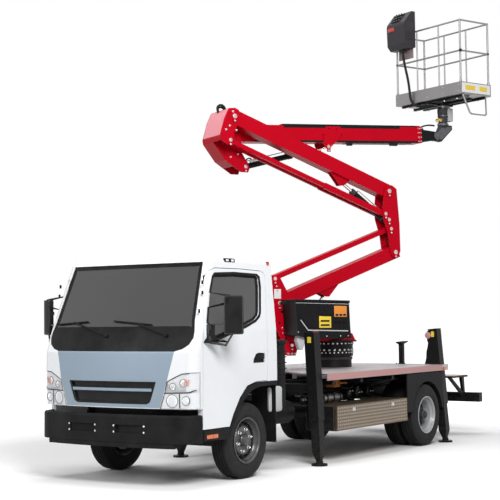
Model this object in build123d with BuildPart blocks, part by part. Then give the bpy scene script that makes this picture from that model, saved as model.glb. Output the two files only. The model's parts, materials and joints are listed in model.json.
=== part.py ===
"""Cherry picker truck: a cab-over light truck with a slewing articulated boom and basket.

All sizes are millimetres. X points to the vehicle's left, Y to its rear, Z up.
Heights start at the ground, and lengths at the front axle. At the end every
piece moves by one shift, so that the origin is the bottom centre of the whole.
"""
import os
from math import atan2, cos, degrees, hypot, radians, sin, sqrt

from build123d import *

os.makedirs("parts", exist_ok=True)

# Wheels and axles
WHEELBASE = 3850
TYRE_RADIUS = 385
TYRE_WIDTH = 205
FRONT_TYRE_X = 808
REAR_OUTER_X = 905
REAR_INNER_X = 665
RIM_RADIUS = 205
RIM_WALL = 10
RIM_FLANGE = 224
HUB_RADIUS = 78
FRONT_SPINDLE = 30
REAR_SPINDLE = 42
RUN_GAP = 0.09
SIDE_GAP = 6
KINGPIN_X = 665
KINGPIN_RADIUS = 17
AXLE_Z = TYRE_RADIUS

# Chassis
RAIL_X = 385
RAIL_FLANGE = 60
RAIL_WALL = 9
RAIL_Z0 = 610
RAIL_Z1 = 790
RAIL_Y0 = -960
RAIL_Y1 = WHEELBASE + 1570
SUB_Y1 = WHEELBASE + 1050
SUB_Z1 = 915
STEP_Y = WHEELBASE + 1140

# Deck
DECK_X = 1020
DECK_Y0 = 1410
DECK_Y1 = WHEELBASE + 596
DECK_TOP = 1000
DECK_EDGE = 75
DECK_SHEET = 15

# Door hinges
HINGE_X = 981
HINGE_Y = -846
HINGE_RADIUS = 3

# Outrigger legs
LEG_TUBE = 125
LEG_WALL = 9
LEG_INNER = 106
FRONT_LEG_Y = 1315
FRONT_LEG_LEAN = 3.0
REAR_LEG_Y = WHEELBASE + 514
REAR_LEG_LEAN = 5.0
LEG_TOP_Z = 1460
LEG_OPEN_Z = 490
FRONT_LEG_X = 905
REAR_LEG_X = 915
FOOT_RADIUS = 90
FOOT_THICK = 22

# Turret and boom, in the plane of the boom: s outwards, z up, n to the near side
TURRET_Y = WHEELBASE - 600
SPIGOT_RADIUS = 150
SWING = 27.0
ARM_N0 = 40
ARM_N1 = 205
PLATE = 14
ARM_GAP = 6
PIN = 22
TIE_PIN = 16
LUG = 14
LUG_IN = 18
LINK_LUG_IN = 40
TIE_BAR = 34
EYE_GAP = 2
EYE_RIM = 8
A1 = (-897, 1804)
A2 = (-960, 2105)
B1 = (835, 2455)
B2 = (772, 2756)
C1 = (753, 3241)
C2 = (691, 2947)
D1 = (-1490, 4070)
D2 = (-1552, 3776)
LOWER_ARM_H = 168
UPPER_ARM_H = 176
TIE_H = 62
LOWER_JACK_FOOT = (-735, 1290)
LOWER_JACK_EYE = (-185, 1912)
LINK_JACK_FOOT = (742, 2872)
LINK_JACK_EYE = (95, 3330)
LUFF_JACK_FOOT = (-1235, 3490)
LUFF_JACK_EYE = (-10, 3806)
TELE_PIVOT = (-1380, 3905)
TELE_RISE = 2.8
TELE_N0 = -235
TELE_N1 = -25
TELE_H = 214
TELE_WALL = 8
INNER_GAP = 5
TELE_LENGTH = 2850
NOSE_REACH = 280.5
NOSE_DROP = 4.9
NOSE_PIN = (
    TELE_PIVOT[0] + (TELE_LENGTH + NOSE_REACH) * cos(radians(TELE_RISE)) + NOSE_DROP * sin(radians(TELE_RISE)),
    TELE_PIVOT[1] + (TELE_LENGTH + NOSE_REACH) * sin(radians(TELE_RISE)) - NOSE_DROP * cos(radians(TELE_RISE)),
)
HEAD_N0 = -262
HEAD_MID_N = 0

# Basket
BASKET_LONG = 1270
BASKET_DEEP = 560
BASKET_HIGH = 1000
BASKET_TURN = 110.0
BASKET_TUBE = 13
TOE_BOARD = 160

SIN_S = sin(radians(SWING))
COS_S = cos(radians(SWING))
STRAIGHT_DOWN = 0.0


def block(x0, x1, y0, y1, z0, z1, mode=Mode.ADD):
    """A square block between two corners."""
    with Locations(((x0 + x1) / 2, (y0 + y1) / 2, (z0 + z1) / 2)):
        Box(x1 - x0, y1 - y0, z1 - z0, mode=mode)


def round_bar(start, end, radius, mode=Mode.ADD):
    """A round bar from one point to another."""
    run = Vector(*end) - Vector(*start)
    with BuildSketch(Plane(origin=start, z_dir=run.normalized())) as disc:
        Circle(radius)
    extrude(disc.sketch, amount=run.length, mode=mode)


def side_plate(x0, x1, outline, mode=Mode.ADD):
    """A plate with its outline in Y and Z, between two widths."""
    with BuildSketch(Plane(origin=(x0, 0, 0), x_dir=(0, 1, 0), z_dir=(1, 0, 0))) as face:
        with BuildLine():
            Polyline(*outline, close=True)
        make_face()
    extrude(face.sketch, amount=x1 - x0, mode=mode)


def front_plate(y0, y1, outline, mode=Mode.ADD):
    """A plate with its outline in X and Z, between two lengths."""
    with BuildSketch(Plane(origin=(0, y1, 0), x_dir=(1, 0, 0), z_dir=(0, -1, 0))) as face:
        with BuildLine():
            Polyline(*outline, close=True)
        make_face()
    extrude(face.sketch, amount=y1 - y0, mode=mode)


def plan_plate(z0, z1, outline, mode=Mode.ADD):
    """A plate with its outline in X and Y, between two heights."""
    with BuildSketch(Plane.XY.offset(z0)) as face:
        with BuildLine():
            Polyline(*outline, close=True)
        make_face()
    extrude(face.sketch, amount=z1 - z0, mode=mode)


def boom_plane(n):
    """The boom's plane, moved to the side by n."""
    return Plane(
        origin=(n * COS_S, TURRET_Y - n * SIN_S, 0),
        x_dir=(SIN_S, COS_S, 0),
        z_dir=(COS_S, -SIN_S, 0),
    )


def boom_point(s, n, z):
    """A point of the boom in the truck's axes."""
    return (s * SIN_S + n * COS_S, TURRET_Y + s * COS_S - n * SIN_S, z)


def boom_plate(n0, n1, outline, mode=Mode.ADD):
    """A plate with its outline in s and z, between two n."""
    with BuildSketch(boom_plane(n0)) as face:
        with BuildLine():
            Polyline(*outline, close=True)
        make_face()
    extrude(face.sketch, amount=n1 - n0, mode=mode)


def boom_pin(centre, n0, n1, radius, mode=Mode.ADD):
    """A round pin across the boom."""
    with BuildSketch(boom_plane(n0)) as disc:
        with Locations(centre):
            Circle(radius)
    extrude(disc.sketch, amount=n1 - n0, mode=mode)


def boom_strip(n0, n1, start, end, half, mode=Mode.ADD):
    """A bar with straight sides from one point of the boom's plane to another."""
    run_s = end[0] - start[0]
    run_z = end[1] - start[1]
    length = hypot(run_s, run_z)
    side_s = -run_z / length * half
    side_z = run_s / length * half
    outline = [
        (start[0] + side_s, start[1] + side_z),
        (start[0] - side_s, start[1] - side_z),
        (end[0] - side_s, end[1] - side_z),
        (end[0] + side_s, end[1] + side_z),
    ]
    boom_plate(n0, n1, outline, mode)


def boom_tube(n0, n1, start, end, half, wall):
    """A hollow square bar, open at both ends."""
    boom_strip(n0, n1, start, end, half)
    boom_strip(n0 + wall, n1 - wall, start, end, half - wall, Mode.SUBTRACT)


def along(start, end, distance):
    """The point at a distance from the start on the way to the end."""
    length = hypot(end[0] - start[0], end[1] - start[1])
    share = distance / length
    return (start[0] + (end[0] - start[0]) * share, start[1] + (end[1] - start[1]) * share)


pieces = []


def keep(part, name):
    """Gives a piece its name and puts it with the others."""
    part.label = name
    pieces.append(part)


# Chassis frame: two channels with cross members
with BuildPart() as chassis_frame:
    for side in (-1, 1):
        block(min(side * RAIL_X, side * (RAIL_X - RAIL_WALL)), max(side * RAIL_X, side * (RAIL_X - RAIL_WALL)),
              RAIL_Y0, RAIL_Y1, RAIL_Z0, RAIL_Z1)
        for low in (RAIL_Z0, RAIL_Z1 - RAIL_WALL):
            inner = side * (RAIL_X - RAIL_FLANGE)
            block(min(side * RAIL_X, inner), max(side * RAIL_X, inner), RAIL_Y0, RAIL_Y1, low, low + RAIL_WALL)
    for cross_y in (-900, 1150, 2050, 2850, WHEELBASE - 550, WHEELBASE + 650, WHEELBASE + 1480):
        block(-RAIL_X + 5, RAIL_X - 5, cross_y, cross_y + 80, RAIL_Z0 + 20, RAIL_Z1 - 20)
keep(chassis_frame.part, "chassis_frame")

# Subframe on top of the rails, which carries the deck and the turret
with BuildPart() as subframe:
    for side in (-1, 1):
        inner = side * (RAIL_X - 85)
        block(min(side * RAIL_X, inner), max(side * RAIL_X, inner), 1180, SUB_Y1, RAIL_Z1 + 0.5, SUB_Z1)
    for cross_y in (1560, 2200, WHEELBASE - 890, WHEELBASE - 410, WHEELBASE + 300, WHEELBASE + 930):
        block(-RAIL_X + 5, RAIL_X - 5, cross_y, cross_y + 100, RAIL_Z1 + 10, SUB_Z1)
    for cross_y in (1560, 2200, WHEELBASE - 890, WHEELBASE - 410, WHEELBASE + 300):
        block(-DECK_X + 40, DECK_X - 40, cross_y + 20, cross_y + 70, SUB_Z1 - 45, SUB_Z1)
    for y in (FRONT_LEG_Y, REAR_LEG_Y):
        block(-RAIL_X - 1, RAIL_X + 1, y - 51, y + 51, RAIL_Z1 - 5, RAIL_Z1 + 101, Mode.SUBTRACT)
    with BuildSketch(Plane.XY.offset(SUB_Z1 - 40)) as foot:
        with Locations((0, TURRET_Y)):
            Circle(235)
    extrude(foot.sketch, amount=1128 - SUB_Z1 + 40)
    with BuildSketch(Plane.XY.offset(SUB_Z1 - 45)) as bore:
        with Locations((0, TURRET_Y)):
            Circle(SPIGOT_RADIUS + RUN_GAP)
    extrude(bore.sketch, amount=400, mode=Mode.SUBTRACT)
keep(subframe.part, "subframe")


def leg_plane(side, x, y, z, lean):
    """A plane across a leaning leg, with its Z up the leg."""
    lean_rad = radians(lean)
    return Plane(
        origin=(side * x, y, z),
        x_dir=(0, 1, 0),
        z_dir=(-side * sin(lean_rad), 0, cos(lean_rad)),
    )


LEGS = [
    # name, side, x at the top of the deck, y, lean
    ("front_left", 1, FRONT_LEG_X, FRONT_LEG_Y, FRONT_LEG_LEAN),
    ("front_right", -1, FRONT_LEG_X, FRONT_LEG_Y, FRONT_LEG_LEAN),
    ("rear_left", 1, REAR_LEG_X, REAR_LEG_Y, REAR_LEG_LEAN),
    ("rear_right", -1, REAR_LEG_X, REAR_LEG_Y, REAR_LEG_LEAN),
]


def leg_length(z, lean):
    """Distance along the leg between the deck's top and a height."""
    return (z - DECK_TOP) / cos(radians(lean))


# Outrigger beams across the frame, each with a leaning square tube at both ends
with BuildPart() as outrigger_frames:
    for name, side, x, y, lean in LEGS:
        low = leg_length(LEG_OPEN_Z, lean)
        high = leg_length(LEG_TOP_Z, lean)
        with BuildSketch(leg_plane(side, x, y, DECK_TOP, lean).offset(low)) as outer:
            Rectangle(LEG_TUBE, LEG_TUBE)
        extrude(outer.sketch, amount=high - low)
    for y in (FRONT_LEG_Y, REAR_LEG_Y):
        block(-FRONT_LEG_X, FRONT_LEG_X, y - 50, y + 50, RAIL_Z1 + 0.5, RAIL_Z1 + 100)
    for name, side, x, y, lean in LEGS:
        low = leg_length(LEG_OPEN_Z, lean)
        high = leg_length(LEG_TOP_Z, lean)
        with BuildSketch(leg_plane(side, x, y, DECK_TOP, lean).offset(low)) as inner:
            Rectangle(LEG_TUBE - 2 * LEG_WALL, LEG_TUBE - 2 * LEG_WALL)
        extrude(inner.sketch, amount=high - low - LEG_WALL, mode=Mode.SUBTRACT)
keep(outrigger_frames.part, "outrigger_frames")


def inner_leg(side, x, y, lean):
    """The sliding leg with its tapered end and round foot."""
    ground = leg_length(STRAIGHT_DOWN, lean)
    end = leg_length(150, lean)
    tip = leg_length(45, lean)
    plane = leg_plane(side, x, y, DECK_TOP, lean)
    with BuildPart() as leg:
        with BuildSketch(plane.offset(end)) as shaft:
            Rectangle(LEG_INNER, LEG_INNER)
        extrude(shaft.sketch, amount=860)
        with BuildSketch(plane.offset(end)) as top:
            Rectangle(LEG_INNER, LEG_INNER)
        with BuildSketch(plane.offset(tip)) as bottom:
            Rectangle(46, 46)
        loft(sections=[bottom.sketch, top.sketch])
        foot_x = side * (x - ground * sin(radians(lean)))
        with BuildSketch(Plane.XY) as foot:
            with Locations((foot_x, y)):
                Circle(FOOT_RADIUS)
        extrude(foot.sketch, amount=FOOT_THICK)
        with BuildSketch(Plane.XY.offset(FOOT_THICK)) as boss:
            with Locations((foot_x, y)):
                Circle(40)
        extrude(boss.sketch, amount=34)
    return leg.part


for name, side, x, y, lean in LEGS:
    keep(inner_leg(side, x, y, lean), "leg_" + name)

# Deck: a sheet with a folded edge, open round the turret's foot and the rear legs
with BuildPart() as deck:
    outline = [
        (DECK_X, DECK_Y0), (DECK_X, DECK_Y1), (-DECK_X, DECK_Y1), (-DECK_X, DECK_Y0),
        (-600, DECK_Y0 + 90), (-180, DECK_Y0 + 440), (180, DECK_Y0 + 440), (600, DECK_Y0 + 90),
    ]
    plan_plate(DECK_TOP - DECK_SHEET, DECK_TOP, outline)
    for side in (-1, 1):
        edge = side * (DECK_X - 12)
        block(min(side * DECK_X, edge), max(side * DECK_X, edge), DECK_Y0, DECK_Y1, DECK_TOP - DECK_EDGE, DECK_TOP)
        for rib_x in (280, 600):
            block(side * rib_x - 30, side * rib_x + 30, DECK_Y0 + 480, DECK_Y1, SUB_Z1, DECK_TOP)
    block(-DECK_X, DECK_X, DECK_Y1 - 12, DECK_Y1, DECK_TOP - DECK_EDGE, DECK_TOP)
    for name, side, x, y, lean in LEGS:
        if y > DECK_Y0:
            block(side * x - 75, side * x + 75, y - 66, y + 66, DECK_TOP - DECK_EDGE - 10, DECK_TOP, Mode.SUBTRACT)
    with BuildSketch(Plane.XY.offset(SUB_Z1 - 5)) as well:
        with Locations((0, TURRET_Y)):
            Circle(245)
    extrude(well.sketch, amount=150, mode=Mode.SUBTRACT)
keep(deck.part, "deck")

# Engine and gearbox as one plain block, with the propeller shaft
with BuildPart() as engine:
    block(-250, 250, -520, 330, 470, 880)
    block(-150, 150, 320, 980, 480, 760)
    round_bar((0, 970, 560), (0, WHEELBASE - 260.3, AXLE_Z + 8), 42)
    for y in (-300, 120):
        for x0, x1 in ((245, RAIL_X - RAIL_WALL - 0.3), (-RAIL_X + RAIL_WALL + 0.3, -245)):
            block(x0, x1, y, y + 60, RAIL_Z0 + 20, RAIL_Z0 + 80)
keep(engine.part, "drivetrain")

# Front axle, then the leaf springs of both axles
with BuildPart() as front_axle:
    block(-620, 620, -42, 42, AXLE_Z - 75, AXLE_Z + 5)
    for side in (-1, 1):
        with BuildSketch(Plane.XY.offset(AXLE_Z - 40)) as eye:
            with Locations((side * KINGPIN_X, 0)):
                Circle(42)
        extrude(eye.sketch, amount=80)
        block(min(side * 600, side * KINGPIN_X), max(side * 600, side * KINGPIN_X), -38, 38, AXLE_Z - 40, AXLE_Z + 5)
        with BuildSketch(Plane.XY.offset(AXLE_Z - 82)) as kingpin:
            with Locations((side * KINGPIN_X, 0)):
                Circle(KINGPIN_RADIUS)
        extrude(kingpin.sketch, amount=164)
keep(front_axle.part, "front_axle")

with BuildPart() as leaf_springs:
    for side in (-1, 1):
        for leaf, half in ((0, 620), (1, 470), (2, 320)):
            block(side * 425 - 35, side * 425 + 35, -half, half, AXLE_Z + 35 - 14 * leaf, AXLE_Z + 48 - 14 * leaf)
        block(side * 425 - 40, side * 425 + 40, -70, 70, AXLE_Z + 5.5, AXLE_Z + 60)
        for end in (-1, 1):
            block(side * 425 - 40, side * 425 + 40, end * 590 - 30, end * 590 + 30, AXLE_Z + 35, RAIL_Z0 + 60)
            block(side * 390 - 4.8, side * 390 + 4.8, end * 590 - 30, end * 590 + 30, RAIL_Z0 + 10, RAIL_Z0 + 60)
    for side in (-1, 1):
        for leaf, half in ((0, 640), (1, 500), (2, 360), (3, 220)):
            low = AXLE_Z + 100 - 14 * leaf
            block(side * 450 - 38, side * 450 + 38, WHEELBASE - half, WHEELBASE + half, low, low + 13)
        block(side * 450 - 42, side * 450 + 42, WHEELBASE - 75, WHEELBASE + 75, AXLE_Z + 40, AXLE_Z + 125)
        for end in (-1, 1):
            y = WHEELBASE + end * 610
            block(side * 450 - 42, side * 450 + 42, y - 30, y + 30, AXLE_Z + 100, RAIL_Z0 + 60)
            block(min(side * 385.3, side * 450), max(side * 385.3, side * 450), y - 30, y + 30, RAIL_Z0 + 10, RAIL_Z0 + 60)
    for side in (-1, 1):
        round_bar((side * 450 - 60, WHEELBASE, AXLE_Z), (side * 450 + 60, WHEELBASE, AXLE_Z), 62.3, Mode.SUBTRACT)
keep(leaf_springs.part, "leaf_springs")

def knuckle(side):
    """A steering knuckle: two arms round the axle's eye and the spindle."""
    with BuildPart() as piece:
        for low in (AXLE_Z - 76, AXLE_Z + 44):
            block(min(side * 640, side * 745), max(side * 640, side * 745), -38, 38, low, low + 32)
        block(min(side * 713, side * 745), max(side * 713, side * 745), -38, 38, AXLE_Z - 76, AXLE_Z + 76)
        round_bar((side * 745, 0, AXLE_Z), (side * 872, 0, AXLE_Z), FRONT_SPINDLE)
        round_bar((side * 735, 0, AXLE_Z), (side * 752, 0, AXLE_Z), 55)
        round_bar((side * KINGPIN_X, 0, AXLE_Z - 90), (side * KINGPIN_X, 0, AXLE_Z + 90),
                  KINGPIN_RADIUS + RUN_GAP, Mode.SUBTRACT)
    return piece.part


keep(knuckle(1), "knuckle_left")
keep(knuckle(-1), "knuckle_right")

# Rear axle
with BuildPart() as rear_axle:
    round_bar((-545, WHEELBASE, AXLE_Z), (545, WHEELBASE, AXLE_Z), 62)
    round_bar((-985, WHEELBASE, AXLE_Z), (985, WHEELBASE, AXLE_Z), REAR_SPINDLE)
    with Locations((0, WHEELBASE, AXLE_Z)):
        Sphere(165)
    round_bar((0, WHEELBASE - 120, AXLE_Z), (0, WHEELBASE - 260, AXLE_Z + 8), 75)
keep(rear_axle.part, "rear_axle")



def wheel_part(profile, side, y):
    """Turns a profile of offset and radius about the wheel's axis."""
    with BuildPart() as piece:
        with BuildSketch(Plane(origin=(0, y, AXLE_Z), x_dir=(1, 0, 0), z_dir=(0, -1, 0))) as face:
            with BuildLine():
                Polyline(*[(side * x, r) for x, r in profile], close=True)
            make_face()
        revolve(face.sketch, axis=Axis((0, y, AXLE_Z), (1, 0, 0)), revolution_arc=360)
    return piece.part


TYRE_SIDES = 40
TYRE_SECTIONS = [
    # offset from the tyre's middle, radius
    (-81.5, RIM_FLANGE + 2), (-102.5, 286), (-96, 350), (-76, TYRE_RADIUS - 7), (-36, TYRE_RADIUS),
    (36, TYRE_RADIUS), (76, TYRE_RADIUS - 7), (96, 350), (102.5, 286), (81.5, RIM_FLANGE + 2),
]


def ring_section(x, y, radius):
    """A many-sided section across a wheel, measured to its flats."""
    with BuildSketch(Plane(origin=(x, y, AXLE_Z), x_dir=(0, 1, 0), z_dir=(1, 0, 0))) as section:
        RegularPolygon(radius, TYRE_SIDES, major_radius=False, rotation=90 + 180 / TYRE_SIDES)
    return section.sketch


def tyre(centre, y):
    """A tyre with flat facets, lofted through its sections and open for the rim."""
    first = centre + TYRE_SECTIONS[0][0]
    last = centre + TYRE_SECTIONS[-1][0]
    with BuildPart() as piece:
        loft(sections=[ring_section(centre + x, y, radius) for x, radius in TYRE_SECTIONS], ruled=True)
        loft(sections=[ring_section(first, y, RIM_RADIUS + 0.5), ring_section(last, y, RIM_RADIUS + 0.5)],
             ruled=True, mode=Mode.SUBTRACT)
    return piece.part


def rim_profile(centre, disc_in, disc_out, bore):
    """A rim's cross section: two flanges, the well, the disc and the hub."""
    half = TYRE_WIDTH / 2 - 12
    low = RIM_RADIUS - RIM_WALL
    return [
        (centre - half, RIM_FLANGE), (centre - half, low), (disc_in + 4, low),
        (disc_in, HUB_RADIUS + 40), (disc_in, bore), (disc_out, bore),
        (disc_out, HUB_RADIUS + 30), (disc_out - 14, HUB_RADIUS + 60), (disc_in + 20, low),
        (centre + half, low), (centre + half, RIM_FLANGE), (centre + half - 7, RIM_FLANGE),
        (centre + half - 9, RIM_RADIUS), (centre - half + 9, RIM_RADIUS), (centre - half + 7, RIM_FLANGE),
    ]


for side, word in ((1, "left"), (-1, "right")):
    with BuildPart() as front_rim:
        add(wheel_part(rim_profile(FRONT_TYRE_X, FRONT_TYRE_X + 15, FRONT_TYRE_X + 34, FRONT_SPINDLE + RUN_GAP),
                       side, 0))
        round_bar((side * 760, 0, AXLE_Z), (side * 878, 0, AXLE_Z), HUB_RADIUS)
        round_bar((side * 700, 0, AXLE_Z), (side * 874, 0, AXLE_Z), FRONT_SPINDLE + RUN_GAP, Mode.SUBTRACT)
    keep(front_rim.part, "rim_front_" + word)
    keep(tyre(side * FRONT_TYRE_X, 0), "tyre_front_" + word)
    with BuildPart() as rear_rim:
        add(wheel_part(rim_profile(REAR_OUTER_X, REAR_OUTER_X - 88, REAR_OUTER_X - 70, REAR_SPINDLE + RUN_GAP), side,
                       WHEELBASE))
        add(wheel_part(rim_profile(REAR_INNER_X, REAR_INNER_X + 62, REAR_INNER_X + 80, REAR_SPINDLE + RUN_GAP), side,
                       WHEELBASE))
        round_bar((side * 560, WHEELBASE, AXLE_Z), (side * 990, WHEELBASE, AXLE_Z), HUB_RADIUS)
        round_bar((side * 550, WHEELBASE, AXLE_Z), (side * 986, WHEELBASE, AXLE_Z), REAR_SPINDLE + RUN_GAP, Mode.SUBTRACT)
    keep(rear_rim.part, "rim_rear_" + word)
    with BuildPart() as rear_tyres:
        add(tyre(side * REAR_OUTER_X, WHEELBASE))
        add(tyre(side * REAR_INNER_X, WHEELBASE))
    keep(rear_tyres.part, "tyres_rear_" + word)

# Mudguards over the rear wheels, then the dark trims and flaps round the front wheels
ARCH = 424
with BuildPart() as mudguards:
    for side in (-1, 1):
        x0, x1 = (560, 1002) if side > 0 else (-1002, -560)
        outer0, outer1 = (1001, 1016) if side > 0 else (-1016, -1001)
        with BuildSketch(Plane(origin=(x0, 0, 0), x_dir=(0, 1, 0), z_dir=(1, 0, 0))) as hoop:
            with Locations((WHEELBASE, AXLE_Z)):
                Circle(ARCH + 12)
                Circle(ARCH, mode=Mode.SUBTRACT)
            with Locations((WHEELBASE, AXLE_Z - 215)):
                Rectangle(1200, 560, mode=Mode.SUBTRACT)
        extrude(hoop.sketch, amount=x1 - x0)
        with BuildSketch(Plane(origin=(min(outer0, outer1), 0, 0), x_dir=(0, 1, 0), z_dir=(1, 0, 0))) as skirt:
            with Locations((WHEELBASE - 50, 640)):
                Rectangle(980, 550)
            with Locations((WHEELBASE, AXLE_Z)):
                Circle(ARCH - 4, mode=Mode.SUBTRACT)
            with Locations((WHEELBASE, 200)):
                Rectangle(1400, 500, mode=Mode.SUBTRACT)
        extrude(skirt.sketch, amount=15)
        for y in (WHEELBASE - 360, WHEELBASE + 330):
            block(min(side * (RAIL_X + 0.5), side * 565), max(side * (RAIL_X + 0.5), side * 565), y, y + 30, 630, 660)
    for side in (-1, 1):
        x0, x1 = (915, 988) if side > 0 else (-988, -915)
        arch = [
            (-845, 552), (-845, 450), (-450, 440), (-425, 440), (-360, 550), (-292, 662), (-172, 801), (-17, 897),
            (139, 928), (445, 930), (445, 974.5), (305, 974.5), (300, 966), (60, 966), (-98, 932), (-228, 818), (-347, 660), (-404, 552),
        ]
        side_plate(x0, x1, arch)
        round_bar((side * HINGE_X, HINGE_Y, 545), (side * HINGE_X, HINGE_Y, 610), HINGE_RADIUS)
        x0, x1 = (700, 930) if side > 0 else (-930, -700)
        side_plate(x0, x1, [(-845, 552), (-845, 520), (-480, 520), (-480, 552)])
        block(side * 800 - 150, side * 800 + 150, 462, 474, 330, 930)
        block(min(side * 385.3, side * 660), max(side * 385.3, side * 660), 462, 474, 640, 700)
keep(mudguards.part, "mudguards")

# Rear step and underrun bar
with BuildPart() as rear_end:
    block(-840, 840, STEP_Y, STEP_Y + 440, RAIL_Z1 + 0.5, 815)
    block(-1000, 1000, STEP_Y + 450, STEP_Y + 550, 450, 575)
    for side in (-1, 1):
        for x in (410, 760):
            x0, x1 = (x - 20, x + 20) if side > 0 else (-x - 20, -x + 20)
            for bracket in ([(370, 792), (450, 792), (480, 520), (450, 520)],
                            [(10, 792), (70, 792), (455, 560), (455, 500), (410, 540)]):
                side_plate(x0, x1, [(STEP_Y + y, z) for y, z in bracket])
keep(rear_end.part, "rear_step")

# Side locker on the left, closed by a drop-down door
LOCKER = {"x0": 640, "x1": 1038, "y0": 1560, "y1": WHEELBASE - 580, "z0": 358, "z1": 632, "wall": 10, "door": 26,
          "hinge_x": 1027, "hinge_z": 369}
with BuildPart() as locker:
    outer = LOCKER["x1"] - LOCKER["door"] - SIDE_GAP
    wall = LOCKER["wall"]
    block(LOCKER["x0"], outer, LOCKER["y0"], LOCKER["y1"], LOCKER["z0"], LOCKER["z1"])
    block(LOCKER["x0"] + wall, outer + 5, LOCKER["y0"] + wall, LOCKER["y1"] - wall, LOCKER["z0"] + wall,
          LOCKER["z1"] - wall, Mode.SUBTRACT)
    for y in (1700, 2400, WHEELBASE - 750):
        block(RAIL_X + 0.5, LOCKER["x0"] + wall, y, y + 60, RAIL_Z0 + 2, LOCKER["z1"])
    for y, way in ((LOCKER["y0"], 1), (LOCKER["y1"], -1)):
        block(outer - 5, LOCKER["x1"], min(y, y + way * 10), max(y, y + way * 10), LOCKER["z0"], LOCKER["z0"] + 26)
        round_bar((LOCKER["hinge_x"], y, LOCKER["hinge_z"]), (LOCKER["hinge_x"], y + way * 60, LOCKER["hinge_z"]),
                  HINGE_RADIUS)
keep(locker.part, "locker")
with BuildPart() as locker_door:
    block(LOCKER["x1"] - LOCKER["door"], LOCKER["x1"], LOCKER["y0"] + 16, LOCKER["y1"] - 16, LOCKER["z0"], LOCKER["z1"])
    for y in (LOCKER["y0"] + 38, LOCKER["y1"] - 38):
        round_bar((LOCKER["hinge_x"], y - 25, LOCKER["hinge_z"]), (LOCKER["hinge_x"], y + 25, LOCKER["hinge_z"]),
                  HINGE_RADIUS + RUN_GAP, Mode.SUBTRACT)
keep(locker_door.part, "locker_door")

# Air tank and battery box on the left, fuel tank on the right
with BuildPart() as tanks:
    round_bar((600, 790, 590), (600, 1200, 590), 125)
    for y in (860, 1090):
        block(RAIL_X + 0.3, 500, y, y + 40, 620, 660)
    block(-860, -520, 1560, 2560, 380, 740)
    for y in (1700, 2300):
        block(-525, -RAIL_X - 0.5, y, y + 40, RAIL_Z0 + 30, RAIL_Z0 + 70)
keep(tanks.part, "tanks")


# Cab body: sections at rising heights, each with a bowed front and round corners
CAB_REAR = 450
CAB_SECTIONS = [
    # height, front at the centre, front at the corner, half width, corner radius
    (545, -1068, -985, 985, 105),
    (1040, -1083, -1000, 985, 105),
    (1300, -1060, -985, 985, 95),
    (1510, -968, -900, 979, 75),
    (2190, -665, -635, 919, 65),
    (2285, -590, -560, 875, 65),
]


def cab_wire(height, front, corner, half, radius, inset):
    """One section of the cab, moved inwards by the inset."""
    half = half - inset
    rear = CAB_REAR - inset
    front = front + inset
    corner = corner + inset
    bend = radius - inset * 0.5
    with BuildSketch(Plane.XY.offset(height)) as section:
        with BuildLine():
            left = (half, corner + bend)
            left_in = (half - bend, corner)
            Line((half, rear), left)
            RadiusArc(left, left_in, bend)
            ThreePointArc(left_in, (0, front), (-left_in[0], corner))
            RadiusArc((-left_in[0], corner), (-half, corner + bend), bend)
            Line((-half, corner + bend), (-half, rear))
            Line((-half, rear), (half, rear))
        make_face()
    return section.sketch


def cab_solid(inset, low, high):
    """The cab's outer or inner shape between two heights."""
    with BuildPart() as solid:
        loft(sections=[cab_wire(h, f, c, w, r, inset) for h, f, c, w, r in CAB_SECTIONS], ruled=True)
        block(-1200, 1200, -1400, 700, 0, low, Mode.SUBTRACT)
        block(-1200, 1200, -1400, 700, high, 3000, Mode.SUBTRACT)
    return solid.part


CAB_WALL = 45
CAB_FLOOR = 975
ROOF_INNER = 2235
cab_outer = cab_solid(0, 100, 2900)
cab_inner = cab_solid(CAB_WALL, CAB_FLOOR, ROOF_INNER)
cab_lower = cab_solid(CAB_WALL, 500, CAB_FLOOR - 45)

DOOR_LINE = [
    (-856, 560), (-415, 560), (-356, 668), (-236, 830), (-104, 945), (60, 982), (265, 984),
    (285, 1620), (320, 2050), (302, 2088), (250, 2110), (-140, 2123), (-560, 2122), (-640, 2095), (-686, 2040),
    (-780, 1746), (-836, 1380),
]
DOOR_GAP = 6
DOOR_DEPTH = 60
WINDOW_LINE = [
    (-690, 1408), (-748, 1590), (-684, 1840), (-600, 2032), (-566, 2062), (-236, 2074), (168, 2064), (204, 2044),
    (210, 1950), (172, 1690), (150, 1650), (81, 1606), (-108, 1546),
]
HANDLE_LINE = [(12, 1166), (226, 1170), (234, 1264), (108, 1272), (60, 1258), (18, 1206)]
# Front outlines, in X and Z
SCREEN_LINE = [(-842, 2186), (842, 2186), (905, 1600), (925, 1513), (-925, 1513), (-905, 1600)]
COWL_LINE = [
    (-925, 1513), (925, 1513), (930, 1440), (898, 1376), (835, 1334), (757, 1313), (-757, 1313), (-835, 1334),
    (-898, 1376), (-930, 1440),
]
PANEL_LINE = [(-757, 1313), (757, 1313), (689, 1040), (602, 768), (-602, 768), (-689, 1040)]
GRILLE_LINE = [
    (-562, 1020), (562, 1020), (510, 870), (490, 822), (450, 800), (-450, 800), (-490, 822), (-510, 870),
]
LAMP_LINE = [(602, 757), (653, 913), (684, 1026), (764, 1066), (847, 1103), (939, 1111), (1010, 1111), (1010, 757)]
LAMP_BACK = -886


def grown(outline, by):
    """An outline with every side moved outwards by the same distance."""
    ends = list(zip(outline, outline[1:] + outline[:1]))
    turn_way = 1 if sum(a[0] * b[1] - b[0] * a[1] for a, b in ends) > 0 else -1
    sides = []
    for first, last in ends:
        run = hypot(last[0] - first[0], last[1] - first[1])
        sides.append((turn_way * (last[1] - first[1]) / run, -turn_way * (last[0] - first[0]) / run))
    moved = []
    for index, (y, z) in enumerate(outline):
        before = sides[index - 1]
        after = sides[index]
        share = by / (1 + before[0] * after[0] + before[1] * after[1])
        moved.append((y + (before[0] + after[0]) * share, z + (before[1] + after[1]) * share))
    return moved


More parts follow.
